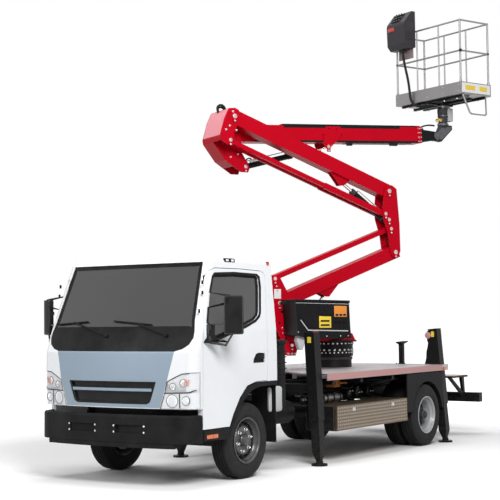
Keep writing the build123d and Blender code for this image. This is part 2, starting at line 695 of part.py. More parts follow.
ARCH_LINE = [
    (-420, 300), (-415, 552), (-356, 668), (-236, 830), (-104, 945), (60, 975), (300, 975), (700, 975), (700, 300),
]
SCREEN = {"low": 1515, "high": 2165}


def door_way(side):
    """The room that a door takes out of the cab's side."""
    with BuildPart() as room:
        side_plate(side * 950 - 150, side * 950 + 150, grown(DOOR_LINE, DOOR_GAP))
        block(side * 850 - 66, side * 850 + 66, -900, 400, 400, 1440, Mode.SUBTRACT)
    return room.part


with BuildPart() as cab_shell:
    add(cab_outer)
    add(cab_inner, mode=Mode.SUBTRACT)
    add(cab_lower, mode=Mode.SUBTRACT)
    side_plate(-1200, 1200, [(y, min(z, CAB_FLOOR - 45)) for y, z in ARCH_LINE], Mode.SUBTRACT)
    for x0, x1 in ((900, 1200), (-1200, -900)):
        side_plate(x0, x1, [(y - 32, z) for y, z in ARCH_LINE], Mode.SUBTRACT)
        block(x0, x1, -900, -400, 400, 557, Mode.SUBTRACT)
    block(-1200, 1200, -1400, -850, 300, 760, Mode.SUBTRACT)
    for side in (-1, 1):
        add(door_way(side), mode=Mode.SUBTRACT)
    front_plate(-1300, -300, SCREEN_LINE, Mode.SUBTRACT)
    front_plate(-1300, -800, COWL_LINE, Mode.SUBTRACT)
    front_plate(380, 500, [(-600, 1600), (600, 1600), (600, 2050), (-600, 2050)], Mode.SUBTRACT)
    front_plate(-1300, -880, PANEL_LINE, Mode.SUBTRACT)
    for side in (-1, 1):
        front_plate(-1300, LAMP_BACK, [(side * x, z) for x, z in LAMP_LINE], Mode.SUBTRACT)
keep(cab_shell.part, "cab_shell")

with BuildPart() as cab_glass:
    add(cab_solid(12, 1500, 2200))
    add(cab_solid(22, 1400, 2300), mode=Mode.SUBTRACT)
    front_plate(-1300, -200, grown(SCREEN_LINE, -0.6), Mode.INTERSECT)
    front_plate(425, 435, [(-599.6, 1600.4), (599.6, 1600.4), (599.6, 2049.6), (-599.6, 2049.6)])
keep(cab_glass.part, "cab_glass")

with BuildPart() as front_panel:
    add(cab_solid(2, 700, 1400))
    add(cab_solid(32, 600, 1500), mode=Mode.SUBTRACT)
    front_plate(-1300, -860, grown(PANEL_LINE, -0.6), Mode.INTERSECT)
    front_plate(-1300, -860, GRILLE_LINE, Mode.SUBTRACT)
keep(front_panel.part, "front_panel")

# The grille with its bar between two sunk fields, and the black cowl below the windscreen
GRILLE_FIELDS = [
    # low, high, half width at the low edge and at the high edge
    (822, 914, 462, 494), (966, 1008, 512, 534),
]
with BuildPart() as grille_fields:
    add(cab_solid(0, 700, 1400))
    add(cab_solid(26, 600, 1500), mode=Mode.SUBTRACT)
    with BuildPart(mode=Mode.INTERSECT):
        for low, high, half_low, half_high in GRILLE_FIELDS:
            front_plate(-1300, -860, [(-half_low, low), (half_low, low), (half_high, high), (-half_high, high)])
with BuildPart() as grille:
    add(cab_solid(8, 700, 1400))
    add(cab_solid(34, 600, 1500), mode=Mode.SUBTRACT)
    front_plate(-1300, -860, grown(GRILLE_LINE, -0.6), Mode.INTERSECT)
    add(grille_fields.part, mode=Mode.SUBTRACT)
with BuildPart() as cowl:
    add(cab_solid(4, 1200, 1700))
    add(cab_solid(34, 1100, 1800), mode=Mode.SUBTRACT)
    front_plate(-1300, -780, grown(COWL_LINE, -0.6), Mode.INTERSECT)
keep(Part(Compound([grille.part.solid(), cowl.part.solid()]).wrapped), "grille")

# Headlamps: they wrap round the cab's corners, in two tiers
with BuildPart() as headlamps:
    for side in (-1, 1):
        with BuildPart() as lamp:
            add(cab_solid(1, 700, 1400))
            add(cab_solid(37, 600, 1500), mode=Mode.SUBTRACT)
            front_plate(-1300, LAMP_BACK, grown([(side * x, z) for x, z in LAMP_LINE], -0.6), Mode.INTERSECT)
            front_plate(-1300, LAMP_BACK - 0.5, [(side * 500, 500), (side * 500, 1400), (side * 1100, 1400),
                                                 (side * 1100, 500)], Mode.INTERSECT)
            with BuildPart(mode=Mode.SUBTRACT):
                add(cab_solid(-1, 800, 1000))
                add(cab_solid(7, 700, 1100), mode=Mode.SUBTRACT)
                front_plate(-1300, -860, [(side * 640, 908), (side * 920, 916), (side * 1100, 966), (side * 1100, 974),
                                          (side * 918, 924), (side * 640, 916)], Mode.INTERSECT)
keep(headlamps.part, "headlamps")

# Bumper with its round ends and lower step
BUMPER_END = -868
BUMPER_BEND = 230
BUMPER_WALL = 55
BUMPER_RISE = [
    # height, inset of the outline
    (430, 6), (437, 0), (680, 0), (692, 4), (699, 12), (702, 24),
]


def bumper_section(z, inset):
    """The bumper's outline from above, moved inwards by the inset."""
    bend = BUMPER_BEND - inset
    half = 990 - BUMPER_BEND
    corner = BUMPER_END - bend
    with BuildSketch(Plane.XY.offset(z)) as section:
        with BuildLine():
            RadiusArc((half + bend, BUMPER_END), (half, corner), bend)
            ThreePointArc((half, corner), (0, corner - 62), (-half, corner))
            RadiusArc((-half, corner), (-half - bend, BUMPER_END), bend)
            Line((-half - bend, BUMPER_END), (half + bend, BUMPER_END))
        make_face()
    return section.sketch


with BuildPart() as bumper_step:
    extrude(bumper_section(386, 6), amount=50)
    block(-800, 800, -1300, -950, 380, 440, Mode.INTERSECT)
with BuildPart() as bumper:
    loft(sections=[bumper_section(z, inset) for z, inset in BUMPER_RISE], ruled=True)
    add(bumper_step.part)
    extrude(bumper_section(300, BUMPER_WALL), amount=500, mode=Mode.SUBTRACT)
    for side in (-1, 1):
        block(side * 300 - 165, side * 300 + 165, -1200, -1125, 525, 605, Mode.SUBTRACT)
        block(side * 357 - 27, side * 357 + 27, -1100, RAIL_Y0, 560, 690)
keep(bumper.part, "bumper")

# Cab floor, dashboard and steering wheel
with BuildPart() as cab_inside:
    block(-880, 880, -870, -640, CAB_FLOOR + 0.5, 1350)
    block(-300, 300, -642, -560, CAB_FLOOR + 0.5, 1200)
    for side in (-1, 1):
        x0, x1 = (360, 420) if side > 0 else (-420, -360)
        block(x0, x1, -400, 300, RAIL_Z1 + 0.5, CAB_FLOOR - 45.5)
    round_bar((430, -660, 1250), (430, -500, 1330), 22)
    with BuildSketch(Plane(origin=(430, -500, 1330), z_dir=(0, 0.894, 0.447))) as ring:
        Circle(215)
        Circle(190, mode=Mode.SUBTRACT)
        Rectangle(400, 30)
        Circle(60)
    extrude(ring.sketch, amount=22)
keep(cab_inside.part, "cab_interior")

with BuildPart() as seats:
    for x0, x1 in ((180, 700), (-780, 60)):
        block(x0, x1, -360, 140, CAB_FLOOR + 0.5, 1230)
        block(x0, x1, -380, 150, 1230, 1370)
        side_plate(x0, x1, [(90, 1330), (210, 1330), (340, 1900), (250, 1920)])
keep(seats.part, "seats")


MIRROR = (1215, -650, 1659)
MIRROR_RODS = [
    # start, end
    ((1010, -770, 1392), (1150, -697, 1368)), ((1150, -697, 1368), (1206, -655, 1480)),
    ((1010, -770, 1574), (1200, -660, 1580)),
]


def door(side):
    """A cab door as thick as the whole door, with its window opening and mirror."""
    x0, x1 = (985 - DOOR_DEPTH - 30, 1100) if side > 0 else (-1100, -(985 - DOOR_DEPTH - 30))
    with BuildPart() as piece:
        add(cab_solid(0, 500, 2200))
        add(cab_solid(DOOR_DEPTH, 300, 2400), mode=Mode.SUBTRACT)
        side_plate(x0, x1, DOOR_LINE, Mode.INTERSECT)
        side_plate(x0, x1, WINDOW_LINE, Mode.SUBTRACT)
        side_plate(x0 if side < 0 else 968, x1 if side > 0 else -968, HANDLE_LINE, Mode.SUBTRACT)
        round_bar((side * HINGE_X, HINGE_Y, 540), (side * HINGE_X, HINGE_Y, 616), HINGE_RADIUS + RUN_GAP, Mode.SUBTRACT)
        front_plate(-796, -700, [(side * 960, 1378), (side * 1022, 1400), (side * 1022, 1560), (side * 960, 1578)])
        for start, end in MIRROR_RODS:
            round_bar((side * start[0], start[1], start[2]), (side * end[0], end[1], end[2]), 10)
        with Locations(Location((side * MIRROR[0], MIRROR[1], MIRROR[2]), (0, 0, side * 30))):
            Box(180, 50, 370)
    return piece.part


def door_glass(side):
    """The door's window."""
    x0, x1 = (780, 1100) if side > 0 else (-1100, -780)
    with BuildPart() as piece:
        add(cab_solid(24, 1400, 2200))
        add(cab_solid(32, 1300, 2300), mode=Mode.SUBTRACT)
        side_plate(x0, x1, grown(WINDOW_LINE, -0.6), Mode.INTERSECT)
    return piece.part


for side, word in ((1, "left"), (-1, "right")):
    keep(door(side), "door_" + word)
    keep(door_glass(side), "door_glass_" + word)

# Turret: the slewing foot, the leaning tower of two plates and the foot of the lower jack
TOWER = [
    (-1035, 2140), (-905, 2150), (-776, 1925), (-640, 1790), (-380, 1500), (150, 1420), (200, 1330),
    (-610, 1330), (-655, 1245), (-680, 1160), (-800, 1160), (-842, 1210), (-850, 1290), (-970, 1535),
]
with BuildPart() as tower:
    with BuildSketch(Plane.XY.offset(1134)) as drum:
        with Locations((0, TURRET_Y)):
            Circle(250)
    extrude(drum.sketch, amount=190)
    with BuildSketch(Plane.XY.offset(SUB_Z1 + 20)) as spigot:
        with Locations((0, TURRET_Y)):
            Circle(SPIGOT_RADIUS)
    extrude(spigot.sketch, amount=1134 - SUB_Z1 - 20)
    with BuildSketch(Plane.XY.offset(1316)) as table:
        with Locations((0, TURRET_Y)):
            Circle(300)
    extrude(table.sketch, amount=20)
    for n0 in (ARM_N0 - ARM_GAP - PLATE, ARM_N1 + ARM_GAP):
        boom_plate(n0, n0 + PLATE, TOWER)
    boom_plate(ARM_N0 - ARM_GAP, ARM_N1 + ARM_GAP, [(-968, 1540), (-944, 1540), (-958, 1675), (-982, 1675)])
    boom_plate(ARM_N0 - ARM_GAP, ARM_N1 + ARM_GAP, [(-1010, 1935), (-986, 1935), (-998, 2050), (-1022, 2050)])
    boom_plate(ARM_N0 - ARM_GAP, ARM_N1 + ARM_GAP, [(-820, 1180), (-700, 1180), (-660, 1240), (-830, 1240)])
    boom_plate(ARM_N0 - ARM_GAP, ARM_N1 + ARM_GAP, [(-540, 1336), (150, 1336), (150, 1360), (-540, 1360)])
    boom_pin(A1, ARM_N0 - ARM_GAP - PLATE, ARM_N1 + ARM_GAP + PLATE, PIN)
    boom_pin(A2, ARM_N0 - ARM_GAP - PLATE, ARM_N1 + ARM_GAP + PLATE, TIE_PIN)
    boom_pin(LOWER_JACK_FOOT, ARM_N0 - ARM_GAP - PLATE, ARM_N1 + ARM_GAP + PLATE, TIE_PIN)
keep(tower.part, "tower")

CABINET = [(-870, 1842), (-110, 1822), (-95, 1480), (-80, 1365), (-560, 1365), (-700, 1380), (-845, 1415)]
with BuildPart() as cabinet:
    boom_plate(ARM_N1 + 40, 560, CABINET)
    boom_plate(ARM_N1 + ARM_GAP + PLATE + 0.5, ARM_N1 + 40, [(-800, 1560), (-640, 1560), (-640, 1480), (-800, 1480)])
keep(cabinet.part, "control_cabinet")

MID_N = (ARM_N0 + ARM_N1) / 2
# Lower arm
with BuildPart() as lower_arm:
    boom_tube(ARM_N0, ARM_N1, along(A1, B1, -50), along(A1, B1, hypot(B1[0] - A1[0], B1[1] - A1[1]) + 60),
              LOWER_ARM_H / 2, 10)
    for pin in (A1, B1):
        boom_pin(pin, ARM_N0, ARM_N1, PIN + 20)
        boom_pin(pin, ARM_N0 - 50, ARM_N1 + 50, PIN + RUN_GAP, Mode.SUBTRACT)
    for n0 in (ARM_N0 + LUG_IN, ARM_N1 - LUG_IN - LUG):
        boom_plate(n0, n0 + LUG, [(-330, 1945), (-222, 1893), (-205, 1884), (-160, 1884), (-20, 2040), (-60, 2120),
                                  (-300, 2020)])
keep(lower_arm.part, "lower_arm")


def tie(start, end, half, bars, pins):
    """A tie of one bar or two, with an eye at each end."""
    with BuildPart() as piece:
        for n0, n1 in bars:
            boom_strip(n0, n1, along(start, end, 30), along(end, start, 30), half)
            for centre in (start, end):
                boom_pin(centre, n0, n1, half + 8)
                boom_pin(centre, n0 - 5, n1 + 5, pins + RUN_GAP, Mode.SUBTRACT)
    return piece.part


keep(tie(A2, B2, TIE_H / 2, [(ARM_N0 + 30, ARM_N1 - 30)], TIE_PIN), "lower_tie")

# Link between the two arms
LINK = [
    (695, 3290), (735, 3318), (800, 3318), (868, 3272), (905, 2820), (912, 2470), (880, 2400), (800, 2385),
    (760, 2440), (725, 2690), (700, 2760), (660, 2880), (650, 3010), (670, 3190),
]
with BuildPart() as link:
    for n0 in (ARM_N0 - ARM_GAP - PLATE, ARM_N1 + ARM_GAP):
        boom_plate(n0, n0 + PLATE, LINK)
    boom_plate(ARM_N0 - ARM_GAP, ARM_N1 + ARM_GAP, [(884, 2660), (905, 2660), (893, 3080), (873, 3080)])
    for pin, radius in ((B1, PIN), (B2, TIE_PIN), (C1, PIN), (LINK_JACK_FOOT, TIE_PIN)):
        boom_pin(pin, ARM_N0 - ARM_GAP - PLATE, ARM_N1 + ARM_GAP + PLATE, radius)
    boom_pin(C2, ARM_N0 - ARM_GAP - PLATE, ARM_N0 + TIE_BAR + 2, TIE_PIN)
    boom_pin(C2, ARM_N1 - TIE_BAR - 2, ARM_N1 + ARM_GAP + PLATE, TIE_PIN)
keep(link.part, "link")

# Upper arm
with BuildPart() as upper_arm:
    boom_tube(ARM_N0, ARM_N1, along(C1, D1, -70), along(D1, C1, -30), UPPER_ARM_H / 2, 10)
    for pin in (C1, D1):
        boom_pin(pin, ARM_N0, ARM_N1, PIN + 20)
        boom_pin(pin, ARM_N0 - 50, ARM_N1 + 50, PIN + RUN_GAP, Mode.SUBTRACT)
    for n0 in (ARM_N0 + LINK_LUG_IN, ARM_N1 - LINK_LUG_IN - LUG):
        boom_plate(n0, n0 + LUG, [(-90, 3455), (40, 3290), (110, 3300), (190, 3360), (150, 3440), (-60, 3500)])
keep(upper_arm.part, "upper_arm")
with BuildPart() as upper_tie:
    add(tie(C2, D2, 27, [(ARM_N0, ARM_N0 + TIE_BAR), (ARM_N1 - TIE_BAR, ARM_N1)], TIE_PIN))
    for n0 in (ARM_N0, ARM_N1 - TIE_BAR):
        boom_strip(n0, n0 + TIE_BAR, along(C2, D2, 36), along(C2, D2, 960), 37)
keep(upper_tie.part, "upper_tie")

# Boom head: it joins the upper arm to the telescopic boom beside it
HEAD_NEAR = [
    (-1566, 4163), (-1486, 4172), (-1432, 4148), (-1424, 4060), (-1450, 3975), (-1500, 3860), (-1500, 3770),
    (-1540, 3722), (-1600, 3722), (-1688, 3782), (-1688, 3846), (-1625, 4040),
]
HEAD_MID = [
    (-1490, 4172), (-1566, 4163), (-1625, 4040), (-1690, 3820), (-1680, 3768), (-1520, 3560), (-1300, 3420),
    (-1200, 3420), (-1182, 3463), (-1200, 3524), (-1298, 3680), (-1290, 3800), (-1290, 3960), (-1350, 4080),
]
HEAD_BACK = [(-1566, 4163), (-1551, 4163), (-1610, 4040), (-1675, 3820), (-1665, 3772), (-1680, 3768),
             (-1690, 3820), (-1625, 4040)]
HEAD_UNDER = [(-1680, 3768), (-1665, 3772), (-1512, 3572), (-1400, 3500), (-1406, 3486), (-1520, 3560)]
with BuildPart() as head:
    boom_plate(ARM_N1 + ARM_GAP, ARM_N1 + ARM_GAP + PLATE, HEAD_NEAR)
    boom_plate(HEAD_MID_N, HEAD_MID_N + PLATE, HEAD_MID)
    boom_plate(HEAD_N0, HEAD_N0 + PLATE, HEAD_MID)
    boom_plate(HEAD_N0, ARM_N1 + ARM_GAP + PLATE, HEAD_BACK)
    boom_plate(HEAD_N0, HEAD_MID_N + PLATE, HEAD_UNDER)
    boom_pin(D1, HEAD_MID_N, ARM_N1 + ARM_GAP + PLATE, PIN)
    boom_pin(D2, HEAD_MID_N, ARM_N1 + ARM_GAP + PLATE, TIE_PIN)
    boom_pin(TELE_PIVOT, HEAD_N0, HEAD_MID_N + PLATE, PIN)
    boom_pin(LUFF_JACK_FOOT, HEAD_N0, HEAD_MID_N + PLATE, TIE_PIN)
keep(head.part, "boom_head")

# Telescopic boom
rise = radians(TELE_RISE)


def tele_point(distance, lift):
    """A point at a distance along the telescopic boom and a lift above its middle line."""
    return (
        TELE_PIVOT[0] + distance * cos(rise) - lift * sin(rise),
        TELE_PIVOT[1] + distance * sin(rise) + lift * cos(rise),
    )


INNER_N0 = TELE_N0 + TELE_WALL + INNER_GAP
INNER_N1 = TELE_N1 - TELE_WALL - INNER_GAP
INNER_H = TELE_H - 2 * TELE_WALL - 2 * INNER_GAP
PAD_GAP = 0.5
TELE_LUG = 10
TELE_LUG_LINE = [
    # s and z from the eye of the luffing jack
    (-30, 262), (186, 270), (218, 180), (72, 28), (14, -26), (-34, -24), (-70, 34), (-76, 177),
]
with BuildPart() as tele_outer:
    boom_tube(TELE_N0, TELE_N1, tele_point(60, 0), tele_point(TELE_LENGTH, 0), TELE_H / 2, TELE_WALL)
    boom_tube(TELE_N0, TELE_N1, tele_point(-40, 0), tele_point(60, 0), 60, TELE_WALL)
    boom_plate(TELE_N0, TELE_N1, [tele_point(60, TELE_H / 2), tele_point(60, -TELE_H / 2),
                                  tele_point(40, -50), tele_point(40, 50)])
    boom_pin(TELE_PIVOT, TELE_N0, TELE_N1, PIN + 22)
    boom_pin(TELE_PIVOT, TELE_N0 - 10, TELE_N1 + 10, PIN + RUN_GAP, Mode.SUBTRACT)
    for n0, n1 in ((TELE_N0 + TELE_WALL - 1, INNER_N0 - PAD_GAP), (INNER_N1 + PAD_GAP, TELE_N1 - TELE_WALL + 1)):
        boom_strip(n0, n1, tele_point(TELE_LENGTH - 160, 0), tele_point(TELE_LENGTH - 10, 0), 70)
    for low, high in ((INNER_H / 2 + PAD_GAP, TELE_H / 2 - 1), (1 - TELE_H / 2, -INNER_H / 2 - PAD_GAP)):
        boom_strip(TELE_N0 + 40, TELE_N1 - 40, tele_point(TELE_LENGTH - 160, (low + high) / 2),
                   tele_point(TELE_LENGTH - 10, (low + high) / 2), (high - low) / 2)
    for n0 in (TELE_N0 - TELE_LUG, TELE_N1):
        boom_plate(n0, n0 + TELE_LUG, [(LUFF_JACK_EYE[0] + s, LUFF_JACK_EYE[1] + z) for s, z in TELE_LUG_LINE])
keep(tele_outer.part, "tele_outer")



def nose(s, z):
    """A point measured from the pin at the boom's nose."""
    return (NOSE_PIN[0] + s, NOSE_PIN[1] + z)


with BuildPart() as tele_inner:
    boom_tube(INNER_N0, INNER_N1, tele_point(140, 0), tele_point(TELE_LENGTH + 40, 0), INNER_H / 2, 8)
    boom_plate(INNER_N0, INNER_N1, [tele_point(TELE_LENGTH + 20, 90), tele_point(TELE_LENGTH + 20, -90),
                                    tele_point(TELE_LENGTH + 45, -90), tele_point(TELE_LENGTH + 45, 90)])
    for n0 in (INNER_N0 + 20, INNER_N1 - 20 - 20):
        boom_plate(n0, n0 + 20, [tele_point(TELE_LENGTH + 30, 80), tele_point(TELE_LENGTH + 30, -85),
                                 nose(-57, -63), nose(43, -43), nose(53, 27), nose(-47, 57)])
    boom_pin(NOSE_PIN, INNER_N0 + 20, INNER_N1 - 20, PIN)
    for n0, n1 in ((INNER_N0 - INNER_GAP + PAD_GAP, INNER_N0 + 1), (INNER_N1 - 1, INNER_N1 + INNER_GAP - PAD_GAP)):
        boom_strip(n0, n1, tele_point(150, 0), tele_point(300, 0), 70)
keep(tele_inner.part, "tele_inner")

# Levelling bracket with the upright column of the basket
COLUMN_S, COLUMN_LOW = nose(158, 137)
COLUMN_TOP = COLUMN_LOW + 330
NOSE_MID = (INNER_N0 + INNER_N1) / 2
with BuildPart() as leveller:
    boom_plate(NOSE_MID - 35, NOSE_MID + 35, [nose(-25, 47), nose(-12, -53), nose(103, -68), nose(288, 107),
                                              nose(283, 162), nose(103, 162), nose(53, 57)])
    boom_pin(NOSE_PIN, NOSE_MID - 35, NOSE_MID + 35, 60)
    boom_pin(NOSE_PIN, NOSE_MID - 50, NOSE_MID + 50, PIN + RUN_GAP, Mode.SUBTRACT)
    round_bar(boom_point(COLUMN_S, NOSE_MID, COLUMN_LOW), boom_point(COLUMN_S, NOSE_MID, COLUMN_TOP - 40), 62)
    round_bar(boom_point(COLUMN_S, NOSE_MID, COLUMN_TOP - 45), boom_point(COLUMN_S, NOSE_MID, COLUMN_TOP + 22), 30)
keep(leveller.part, "levelling_bracket")

# Basket: its floor turns on the column
turn = radians(BASKET_TURN)
BASKET_FLOOR_Z = COLUMN_TOP + 30
column = boom_point(COLUMN_S, NOSE_MID, BASKET_FLOOR_Z)
BASKET_SHIFT = (-60, 60)
long_dir = Vector(sin(turn), cos(turn), 0)
deep_dir = Vector(-long_dir.Y, long_dir.X, 0)
basket_origin = Vector(*column) + long_dir * BASKET_SHIFT[0] + deep_dir * BASKET_SHIFT[1]
basket_plane = Plane(origin=basket_origin, x_dir=long_dir, z_dir=(0, 0, 1))


def basket_block(x0, x1, y0, y1, z0, z1, mode=Mode.ADD):
    """A square block in the basket's own axes."""
    with BuildSketch(basket_plane.offset(z0)) as face:
        with Locations(((x0 + x1) / 2, (y0 + y1) / 2)):
            Rectangle(x1 - x0, y1 - y0)
    extrude(face.sketch, amount=z1 - z0, mode=mode)


def basket_bar(start, end, radius, mode=Mode.ADD):
    """A round bar in the basket's own axes."""
    first = basket_plane.from_local_coords(Vector(*start))
    last = basket_plane.from_local_coords(Vector(*end))
    round_bar(tuple(first), tuple(last), radius, mode)


HALF_L = BASKET_LONG / 2
HALF_D = BASKET_DEEP / 2
with BuildPart() as basket_floor:
    basket_block(-HALF_L, HALF_L, -HALF_D, HALF_D, 0, 14)
    for y0, y1 in ((-HALF_D, -HALF_D + 8), (HALF_D - 8, HALF_D)):
        basket_block(-HALF_L, HALF_L, y0, y1, 0, TOE_BOARD)
    for x0, x1 in ((-HALF_L, -HALF_L + 8), (HALF_L - 8, HALF_L)):
        basket_block(x0, x1, -HALF_D, HALF_D, 0, TOE_BOARD)
    local = basket_plane.to_local_coords(Vector(*column))
    basket_block(local.X - 450, local.X + 450, local.Y - 60, local.Y + 60, -28, 0)
    basket_bar((local.X, local.Y, -60), (local.X, local.Y, -5), 30 + RUN_GAP, Mode.SUBTRACT)
keep(basket_floor.part, "basket_floor")

with BuildPart() as basket_cage:
    inset = BASKET_TUBE
    corners = [(-HALF_L + inset + 9, -HALF_D + inset + 9), (HALF_L - inset - 9, -HALF_D + inset + 9),
               (HALF_L - inset - 9, HALF_D - inset - 9), (-HALF_L + inset + 9, HALF_D - inset - 9)]
    for index, (x, y) in enumerate(corners):
        basket_bar((x, y, 14), (x, y, BASKET_HIGH), BASKET_TUBE)
        nx, ny = corners[(index + 1) % 4]
        for z in (BASKET_HIGH - BASKET_TUBE, 580):
            basket_bar((x, y, z), (nx, ny, z), BASKET_TUBE - 1)
    for x in (-210, 210):
        for y in (corners[0][1], corners[2][1]):
            basket_bar((x, y, 14), (x, y, BASKET_HIGH - BASKET_TUBE), BASKET_TUBE - 3)
keep(basket_cage.part, "basket_cage")

CONSOLE_LINE = [(-5, 760), (-5, 1258), (-70, 1258), (-205, 1100), (-215, 1060), (-205, 800), (-150, 740), (-60, 740)]
with BuildPart() as basket_box:
    box_plane = Plane(
        origin=basket_plane.from_local_coords(Vector(-HALF_L + 75, 0, 0)),
        x_dir=basket_plane.y_dir,
        z_dir=basket_plane.x_dir,
    )
    with BuildSketch(box_plane) as console:
        with BuildLine():
            Polyline([(-HALF_D + y, z) for y, z in CONSOLE_LINE], close=True)
        make_face()
    extrude(console.sketch, amount=350)
    for x in (-HALF_L + 110, -HALF_L + 370):
        basket_block(x, x + 30, -HALF_D - 8, -HALF_D + 10, 900, 1000)
    add(basket_cage.part, mode=Mode.SUBTRACT)
keep(basket_box.part, "basket_controls")


def jack_barrel(foot, eye, n0, n1, radius, length, pins):
    """A cylinder barrel with its eye, open at the rod's end."""
    mid = (n0 + n1) / 2
    start = along(foot, eye, 25)
    end = along(foot, eye, length)
    with BuildPart() as piece:
        round_bar(boom_point(start[0], mid, start[1]), boom_point(end[0], mid, end[1]), radius)
        boom_pin(foot, mid - 30, mid + 30, pins + 16)
        boom_pin(foot, mid - 40, mid + 40, pins + RUN_GAP, Mode.SUBTRACT)
        deep = along(foot, eye, 70)
        past = along(foot, eye, length + 20)
        round_bar(boom_point(deep[0], mid, deep[1]), boom_point(past[0], mid, past[1]), radius * 0.55 + RUN_GAP,
                  Mode.SUBTRACT)
    return piece.part


def jack_rod(foot, eye, n0, n1, radius, start, pins):
    """A cylinder rod with its eye."""
    mid = (n0 + n1) / 2
    length = hypot(eye[0] - foot[0], eye[1] - foot[1])
    low = along(foot, eye, start)
    high = along(foot, eye, length)
    with BuildPart() as piece:
        round_bar(boom_point(low[0], mid, low[1]), boom_point(high[0], mid, high[1]), radius * 0.55)
        boom_pin(eye, mid - 22, mid + 22, pins + EYE_RIM)
        boom_pin(eye, n0 + EYE_GAP, n1 - EYE_GAP, pins)
    return piece.part


JACKS = [
    # name, foot, eye, inner faces of the eye's lugs, barrel radius, barrel length, start of the rod
    ("lower_jack", LOWER_JACK_FOOT, LOWER_JACK_EYE, ARM_N0 + LUG_IN + LUG, ARM_N1 - LUG_IN - LUG, 42, 640, 225),
    ("link_jack", LINK_JACK_FOOT, LINK_JACK_EYE, ARM_N0 + LINK_LUG_IN + LUG, ARM_N1 - LINK_LUG_IN - LUG, 38, 620, 150),
    ("luff_jack", LUFF_JACK_FOOT, LUFF_JACK_EYE, TELE_N0, TELE_N1, 36, 760, 160),
]
for name, foot, eye, n0, n1, radius, length, start in JACKS:
    keep(jack_barrel(foot, eye, n0, n1, radius, length, TIE_PIN), name + "_barrel")
    keep(jack_rod(foot, eye, n0, n1, radius, start, TIE_PIN), name + "_rod")

# One shift puts the origin at the bottom centre of the whole
whole = Compound(children=[copy_piece for copy_piece in [Part(p.wrapped) for p in pieces]])
bounds = whole.bounding_box()
SHIFT = (-(bounds.min.X + bounds.max.X) / 2, -(bounds.min.Y + bounds.max.Y) / 2, -bounds.min.Z)
for piece in pieces:
    placed = piece.moved(Location(SHIFT))
    placed.label = piece.label
    export_step(placed, "parts/" + piece.label + ".step")
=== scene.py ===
"""Cherry picker truck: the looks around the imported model.

Every size is in metres. Truck places use the truck's own axes: X to its left, Y to its
rear, Z up, with the front axle at y = 0. Boom places use s outwards along the boom, n to
its near side and z up.
"""
import json
import math

import bmesh
import bpy
from bpy.props import FloatProperty, FloatVectorProperty, IntProperty, PointerProperty
from mathutils import Matrix, Vector
from mathutils.bvhtree import BVHTree


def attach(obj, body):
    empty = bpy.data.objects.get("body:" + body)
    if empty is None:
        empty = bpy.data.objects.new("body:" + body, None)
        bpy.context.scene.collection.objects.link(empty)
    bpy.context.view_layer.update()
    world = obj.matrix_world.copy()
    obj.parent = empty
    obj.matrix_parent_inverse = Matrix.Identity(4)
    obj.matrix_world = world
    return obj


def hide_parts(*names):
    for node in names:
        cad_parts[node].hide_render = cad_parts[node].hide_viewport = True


bl_info = {
    "name": "Cherry picker truck",
    "version": (1, 0, 0),
    "blender": (4, 5, 0),
    "location": "View3D > Sidebar > Truck",
    "description": "Dresses the packed truck with its finishes and small parts",
    "category": "Object",
}

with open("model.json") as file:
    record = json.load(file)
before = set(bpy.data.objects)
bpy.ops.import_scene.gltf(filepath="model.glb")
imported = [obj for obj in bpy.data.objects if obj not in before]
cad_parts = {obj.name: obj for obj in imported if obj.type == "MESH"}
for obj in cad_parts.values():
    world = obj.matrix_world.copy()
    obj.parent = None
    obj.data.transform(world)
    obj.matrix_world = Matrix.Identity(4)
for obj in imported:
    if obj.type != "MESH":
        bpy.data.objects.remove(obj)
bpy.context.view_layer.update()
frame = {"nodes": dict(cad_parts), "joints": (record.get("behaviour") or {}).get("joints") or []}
JOINTS = {joint["name"]: joint for joint in frame["joints"]}


def joint_place(name):
    """Where a joint of the frame lies."""
    return Vector(JOINTS[name]["pos_m"])


TURRET = joint_place("turret_slew")
FRONT_WHEEL = joint_place("wheel_front_left_spin")
REAR_WHEEL = joint_place("wheels_rear_left_spin")
ORIGIN = Vector((TURRET.x, FRONT_WHEEL.y, 0.0))
LIFT_AXIS = Vector(JOINTS["lower_arm_lift"]["axis"])
UP = Vector((0, 0, 1))
OUTWARDS = UP.cross(LIFT_AXIS)
SIDES = ((1, "left"), (-1, "right"))


def at(x, y, z):
    """A truck place in the frame's axes."""
    return ORIGIN + Vector((x, y, z))


def boom_at(s, n, z):
    """A boom place in the frame's axes."""
    flat = Vector((TURRET.x, TURRET.y, 0.0))
    return flat + OUTWARDS * s + LIFT_AXIS * n + UP * z


class TruckColours(bpy.types.PropertyGroup):
    """Paint and plastic colours of the truck."""

    cab: FloatVectorProperty(name="Cab", description="Cab paint", subtype="COLOR", default=(0.79, 0.81, 0.83))
    panel: FloatVectorProperty(name="Panel", description="Front panel paint", subtype="COLOR",
                               default=(0.232, 0.305, 0.385))
    boom: FloatVectorProperty(name="Boom", description="Boom paint", subtype="COLOR",
                              default=(0.5, 0.0006, 0.012))
    black: FloatVectorProperty(name="Black", description="Black paint", subtype="COLOR",
                               default=(0.006, 0.006, 0.007))
    plastic: FloatVectorProperty(name="Plastic", description="Black plastic", subtype="COLOR",
                                 default=(0.007, 0.007, 0.008))
    signal: FloatVectorProperty(name="Signal", description="Indicator amber", subtype="COLOR",
                                default=(0.85, 0.16, 0.01))
    yellow: FloatVectorProperty(name="Yellow", description="Yellow panels and marks", subtype="COLOR",
                                default=(0.8, 0.58, 0.03))


